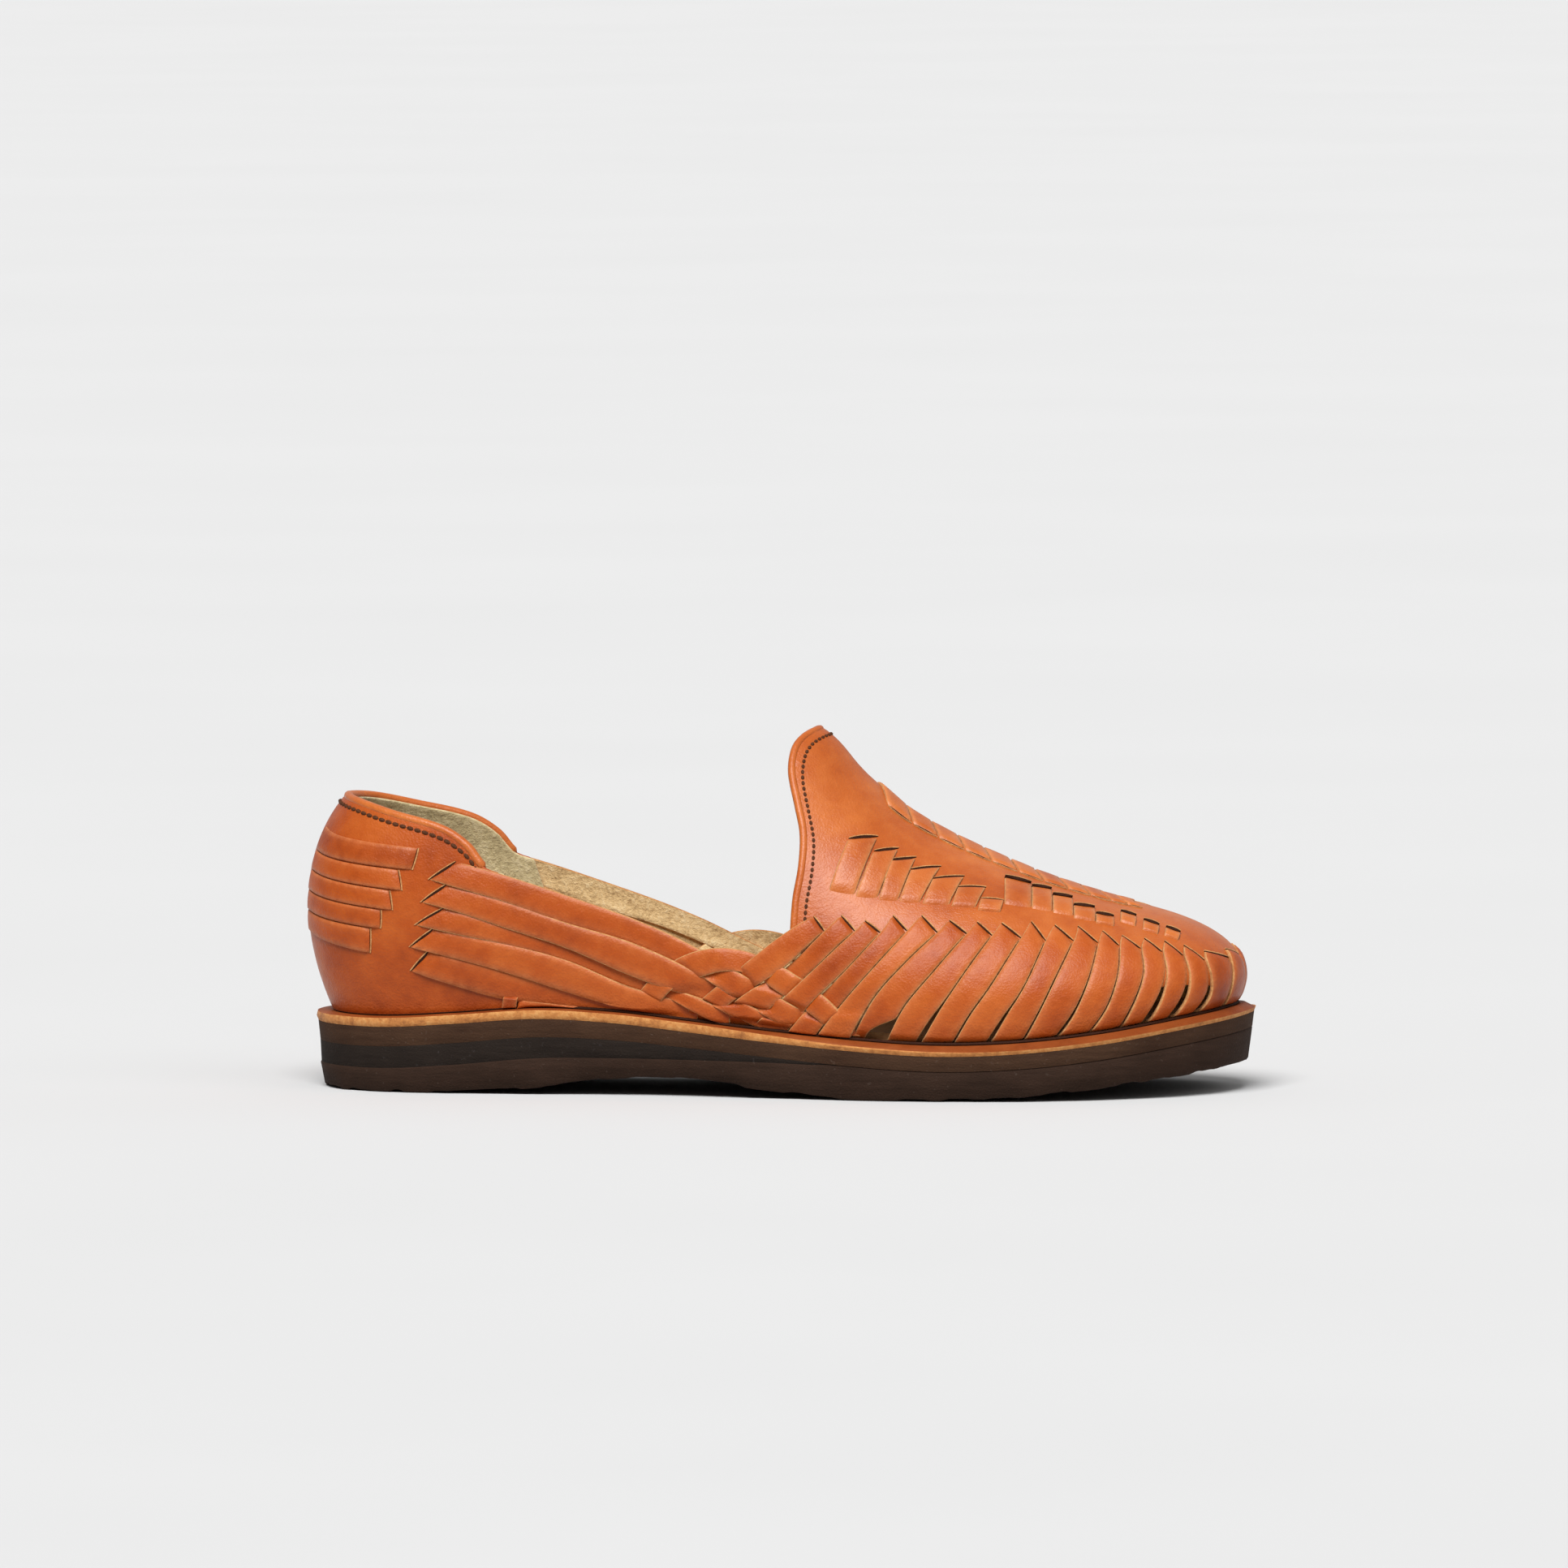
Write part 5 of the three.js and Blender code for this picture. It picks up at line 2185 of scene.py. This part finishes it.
@dataclass
class Heel(Upper):
    """The counter, its rungs, its rolled collar and its lining."""

    front: float = 62.0
    flare: float = 14.0
    lining_front: float = 63.5
    collar_range: tuple[float, float] = (0.2, 0.99)
    front_range: tuple[float, float] = (0.05, 0.5)
    height_range: tuple[float, float] = (0.0, 0.95)
    grid: tuple[int, int] = (96, 34)
    bevel: float = 0.4
    collar_steps: int = 80
    rim_radius: float = 1.5
    stitch_pitch: float = 2.6
    stitch_size: tuple[float, float, float] = (1.25, 0.65, 0.5)
    rung_back: float = 0.018
    rung_seam: float = 0.03
    short_rung: float = 0.92

    def __post_init__(self) -> None:
        """Prepares the collar's line in side view."""
        self.edge = SmoothTable(COLLAR)

    def collar_h(self, side: int, u: float) -> float:
        """Finds the collar's edge.

        Args:
            side: The side.
            u: From heel (0) to toe (1).

        Returns:
            h of the edge there.
        """

        def below(h: float) -> bool:
            """Whether a place lies below the edge."""
            here = self.last.point(side, u, h)
            return here.z < self.edge.at(here.x)[0]

        return end_of_run(*self.collar_range, below)

    def front_u(self, side: int, share: float, front: float) -> float:
        """Finds where a row of the counter reaches its front edge.

        Args:
            side: The side.
            share: The row, from the foot line (0) to the collar (1).
            front: x of the front edge at the collar.

        Returns:
            u of the front edge in that row.
        """

        def behind(u: float) -> bool:
            """Whether a place lies behind the front edge."""
            h = share * self.collar_h(side, u)
            return self.last.point(side, u, h).x < front + self.flare * (1 - share)

        return end_of_run(*self.front_range, behind)

    def height_h(self, u: float, z: float) -> float:
        """The h where the last's outer side reaches a height at u."""
        low, high = self.height_range
        return end_of_run(low, high, lambda h: self.last.point(Side.OUTSIDE, u, h).z < z)

    def shell(
        self,
        name: str,
        finish: bpy.types.Material,
        front: float,
        stands: tuple[float, float],
        rows: tuple[float, float],
    ) -> None:
        """Wraps a sheet round the heel from one side to the other.

        Args:
            name: The sheet's name.
            finish: Its material.
            front: x of its front edges at the collar.
            stands: How far its inner and its outer face stand off the last.
            rows: Its foot and its top, as shares from the foot line to the collar.
        """
        piece = Bench.block(name, *self.grid)
        front_u, collar_h = cache(self.front_u), cache(self.collar_h)

        def place(s: float, t: float, k: int) -> Vector:
            """Lays a point of the sheet, from the outer front edge round the back.

            Args:
                s: Share along.
                t: Share from its foot to its top.
                k: 1 outside, 0 inside.

            Returns:
                The point in metres.
            """
            side = Side.OUTSIDE if s < 0.5 else Side.INSIDE
            share = rows[0] + (rows[1] - rows[0]) * t
            u = abs(2 * s - 1) * front_u(side, share, front)
            h = share * collar_h(side, u)
            return self.last.world(self.last.lifted(side, u, h, stands[k]))

        Bench.shape(piece, place, 0.4, (finish,), worn=False)
        self.sew_on(name, Bench.finish(piece, self.bevel))

    def build(self) -> None:
        """Builds every piece of the heel."""
        tan, suede = self.finishes.tan, self.finishes.suede
        self.shell("heel_counter", tan, self.front, stands=(-0.7, 1.0), rows=(0.0, 1.0))
        self.shell(
            "heel_lining", suede, self.lining_front, stands=(-1.9, -0.9), rows=(0.02, 1.004)
        )
        self.collar()
        self.rungs()

    def collar_path(
        self, drop: float, lift: float, ends: float
    ) -> tuple[list[Vector], list[Vector]]:
        """Follows the collar round the heel.

        Args:
            drop: Distance below the edge.
            lift: How far off the last.
            ends: x where the path ends on both sides.

        Returns:
            Points, and the normals there.
        """
        points, normals = [], []
        near = 0.02
        fronts = {side: self.front_u(side, 1.0, ends) for side in Side}
        for i in range(2 * self.collar_steps + 1):
            off = i / self.collar_steps - 1
            side = Side.OUTSIDE if off < 0 else Side.INSIDE
            u = abs(off) * fronts[side]
            h = self.collar_h(side, u)
            rise = self.last.point(side, u, h) - self.last.point(side, u, h - near)
            h -= drop * near / rise.length
            points.append(self.last.lifted(side, u, h, lift))
            normals.append(self.last.normal(side, u, h))
        return points, normals

    def collar(self) -> None:
        """Rolls and sews the collar's edge."""
        path, _ = self.collar_path(drop=0.2, lift=0.0, ends=58)
        self.sew_on(
            "collar_rim", self.bead("collar_rim", path, self.rim_radius, self.finishes.vamp)
        )
        path, normals = self.collar_path(drop=3.1, lift=1.05, ends=57)
        row = self.stitches("collar_stitches", path, normals, self.stitch_pitch, self.stitch_size)
        self.sew_on("collar_stitches", row)

    def rung_patch(self, number: int) -> Patch:
        """The places of a rung between two lines.

        Args:
            number: Which rung, from the top.

        Returns:
            u and h for a share along and a share across.
        """
        ends = [
            ((self.rung_back, self.height_h(self.rung_back, row.back_z)), self.last.find(row.front))
            for row in RUNG_EDGES[number : number + 2]
        ]
        reach = self.short_rung if number else 1.0

        def spot(s: float, t: float) -> tuple[float, float]:
            """A place of the rung, whose upper edge may be shorter."""
            upper, lower = part_way(*ends[0], s * reach), part_way(*ends[1], s)
            return part_way(upper, lower, self.rung_seam + (1 - 2 * self.rung_seam) * t)

        return spot

    def rungs(self) -> None:
        """Weaves the rungs through the back of the counter."""
        made, mouths = [], []
        lift = self.waves(RUNG_LIFTS)
        patches = [self.rung_patch(n) for n in range(len(RUNG_EDGES) - 1)]
        for side in Side:
            for n, spot in enumerate(patches):
                tone = 0.1 + 0.35 * scatter(n + 20 * side)
                cut = Cut(thick=1.2, tone=tone, crown=0.12, roll=0.12, columns=20)
                made.append(self.band(f"rung_{n}", side, spot, lift, cut))
                mouths.append(self.mouth(side, spot, gape=0.5, lift=1.15, at=1.0))
        self.sew_on("counter_rungs", *made)
        self.sew_on("counter_lips", *(lip for _, lip in mouths))
        # Dark sheets of painted shade in the slits of the rungs.
        self.sew_on("counter_slit_shade", *(dark for dark, _ in mouths))


@dataclass
class WeltShadowCord(Upper):
    """A dark cord on the welt round the foot of the upper: painted shadow where the upper's bulge
    shades the welt.
    """

    inset: float = 5.5
    radius: float = 0.65
    rise: float = 0.35
    steps: int = 150
    overlap: int = 3
    around: int = 6

    def build(self) -> None:
        """Lays the cord of painted shadow round the foot of the upper, its ends overlapping."""
        steps = self.steps
        places = [(Side.OUTSIDE, i / steps) for i in range(steps)]
        places += [(Side.INSIDE, 1 - i / steps) for i in range(steps)]
        path = []
        for side, u in [*places, *places[: self.overlap]]:
            spot = self.last.outline(side, u, self.inset)
            spot.z = self.last.sole_top(spot.x) + self.rise
            path.append(spot)
        # The cord takes the dark slit finish: painted shadow between the upper and the welt.
        cord = self.bead("welt_painted_shadow", path, self.radius, self.finishes.slit, self.around)
        self.sew_on("welt_painted_shadow", cord)


@dataclass
class Studio:
    """The floor, the light and the camera."""

    last: Last
    azimuth: float = 8.0
    elevation: float = 4.0
    roll: float = -0.3
    lens: float = 420.0
    frame_width: float = 485.0
    centre: tuple[float, float, float] = (146.4, 0.0, 93.5)
    sensor: float = 36.0
    far: float = 300.0
    floor_size: float = 160.0
    floor_drop: float = 0.0004
    floor_shades: tuple[float, float] = (0.593, 0.603)
    room_shades: tuple[tuple[float, float], ...] = ((0.0, 0.12), (0.35, 0.3), (0.7, 0.5))

    def build(self) -> None:
        """Sets up the whole studio."""
        self.floor()
        self.room()
        self.suns()
        self.camera()

    def floor(self) -> None:
        """Lays a pale floor that runs out of sight."""
        Bench.clear()
        bpy.ops.mesh.primitive_grid_add(x_subdivisions=24, y_subdivisions=24, size=self.floor_size)
        floor = bpy.context.object
        floor.name = "studio_floor"
        down = (0, 0, -self.floor_drop)
        Bench.edit(floor, lambda: bpy.ops.transform.translate(value=down))
        board = Board("studio_paper")
        dark, pale = ((shade, shade, shade) for shade in self.floor_shades)
        paper = board.ramp(board.noise(scale=3, detail=2), (0.3, dark), (0.7, pale))
        floor.data.materials.append(
            board.finish(Base_Color=paper, Roughness=1.0, Specular_IOR_Level=0.0)
        )

    def room(self) -> None:
        """Fills the room with soft light, brighter from behind the shoe."""
        scene = bpy.context.scene
        scene.view_settings.view_transform = "Standard"
        world = bpy.data.worlds.new("studio_room")
        world.use_nodes = True
        tree = world.node_tree
        room = tree.nodes["Background"]
        split = tree.nodes.new("ShaderNodeSeparateXYZ")
        wall = tree.nodes.new("ShaderNodeValToRGB")
        tree.links.new(tree.nodes.new("ShaderNodeTexCoord").outputs["Generated"], split.inputs[0])
        tree.links.new(split.outputs["Y"], wall.inputs["Fac"])
        tree.links.new(wall.outputs["Color"], room.inputs["Color"])
        elements = wall.color_ramp.elements
        elements.new(0.5)
        for element, (place, shade) in zip(elements, self.room_shades):
            element.position = place
            element.color = (shade, shade, shade, 1)
        scene.world = world

    @staticmethod
    def suns() -> None:
        """Adds a broad soft light from above the camera and a weak one from the toe's side."""
        for name, towards, strength, width in SUNS:
            Bench.clear()
            bpy.ops.object.light_add(type="SUN", location=(0, 0, 2))
            light = bpy.context.object
            light.name = f"studio_{name}"
            light.data.energy = strength
            light.data.angle = math.radians(width)
            light.rotation_euler = Vector(towards).to_track_quat("-Z", "Y").to_euler()

    def camera(self) -> None:
        """Stands the camera at the photograph's angle."""
        az, el = math.radians(self.azimuth), math.radians(self.elevation)
        away = Vector((math.sin(az) * math.cos(el), -math.cos(az) * math.cos(el), math.sin(el)))
        distance = self.lens * self.frame_width / self.sensor * MM
        target = self.last.world(Vector(self.centre))
        Bench.clear()
        bpy.ops.object.camera_add(location=target + away * distance)
        camera = bpy.context.object
        camera.name = "photo_camera"
        camera.data.lens = self.lens
        camera.data.sensor_width = self.sensor
        level = (-away).to_track_quat("-Z", "Y")
        turn = Quaternion((0, 0, 1), math.radians(self.roll))
        camera.rotation_euler = (level @ turn).to_euler()
        camera.data.clip_end = self.far
        bpy.context.scene.camera = camera


def main() -> None:
    """Builds the shoe piece by piece and then its studio."""
    logging.basicConfig(level=logging.INFO, format="%(name)s: %(message)s")
    last = Last()
    finishes = Finishes()
    sole = Sole(last, finishes)
    sole.layers()
    sole.midsole()
    sole.footbed()
    weave = Weave(last, finishes)
    lines = weave.lines()
    Vamp(last, finishes, lines).build()
    weave.build(lines)
    Heel(last, finishes).build()
    WeltShadowCord(last, finishes).build()
    Studio(last).build()


if __name__ == "__main__":
    main()
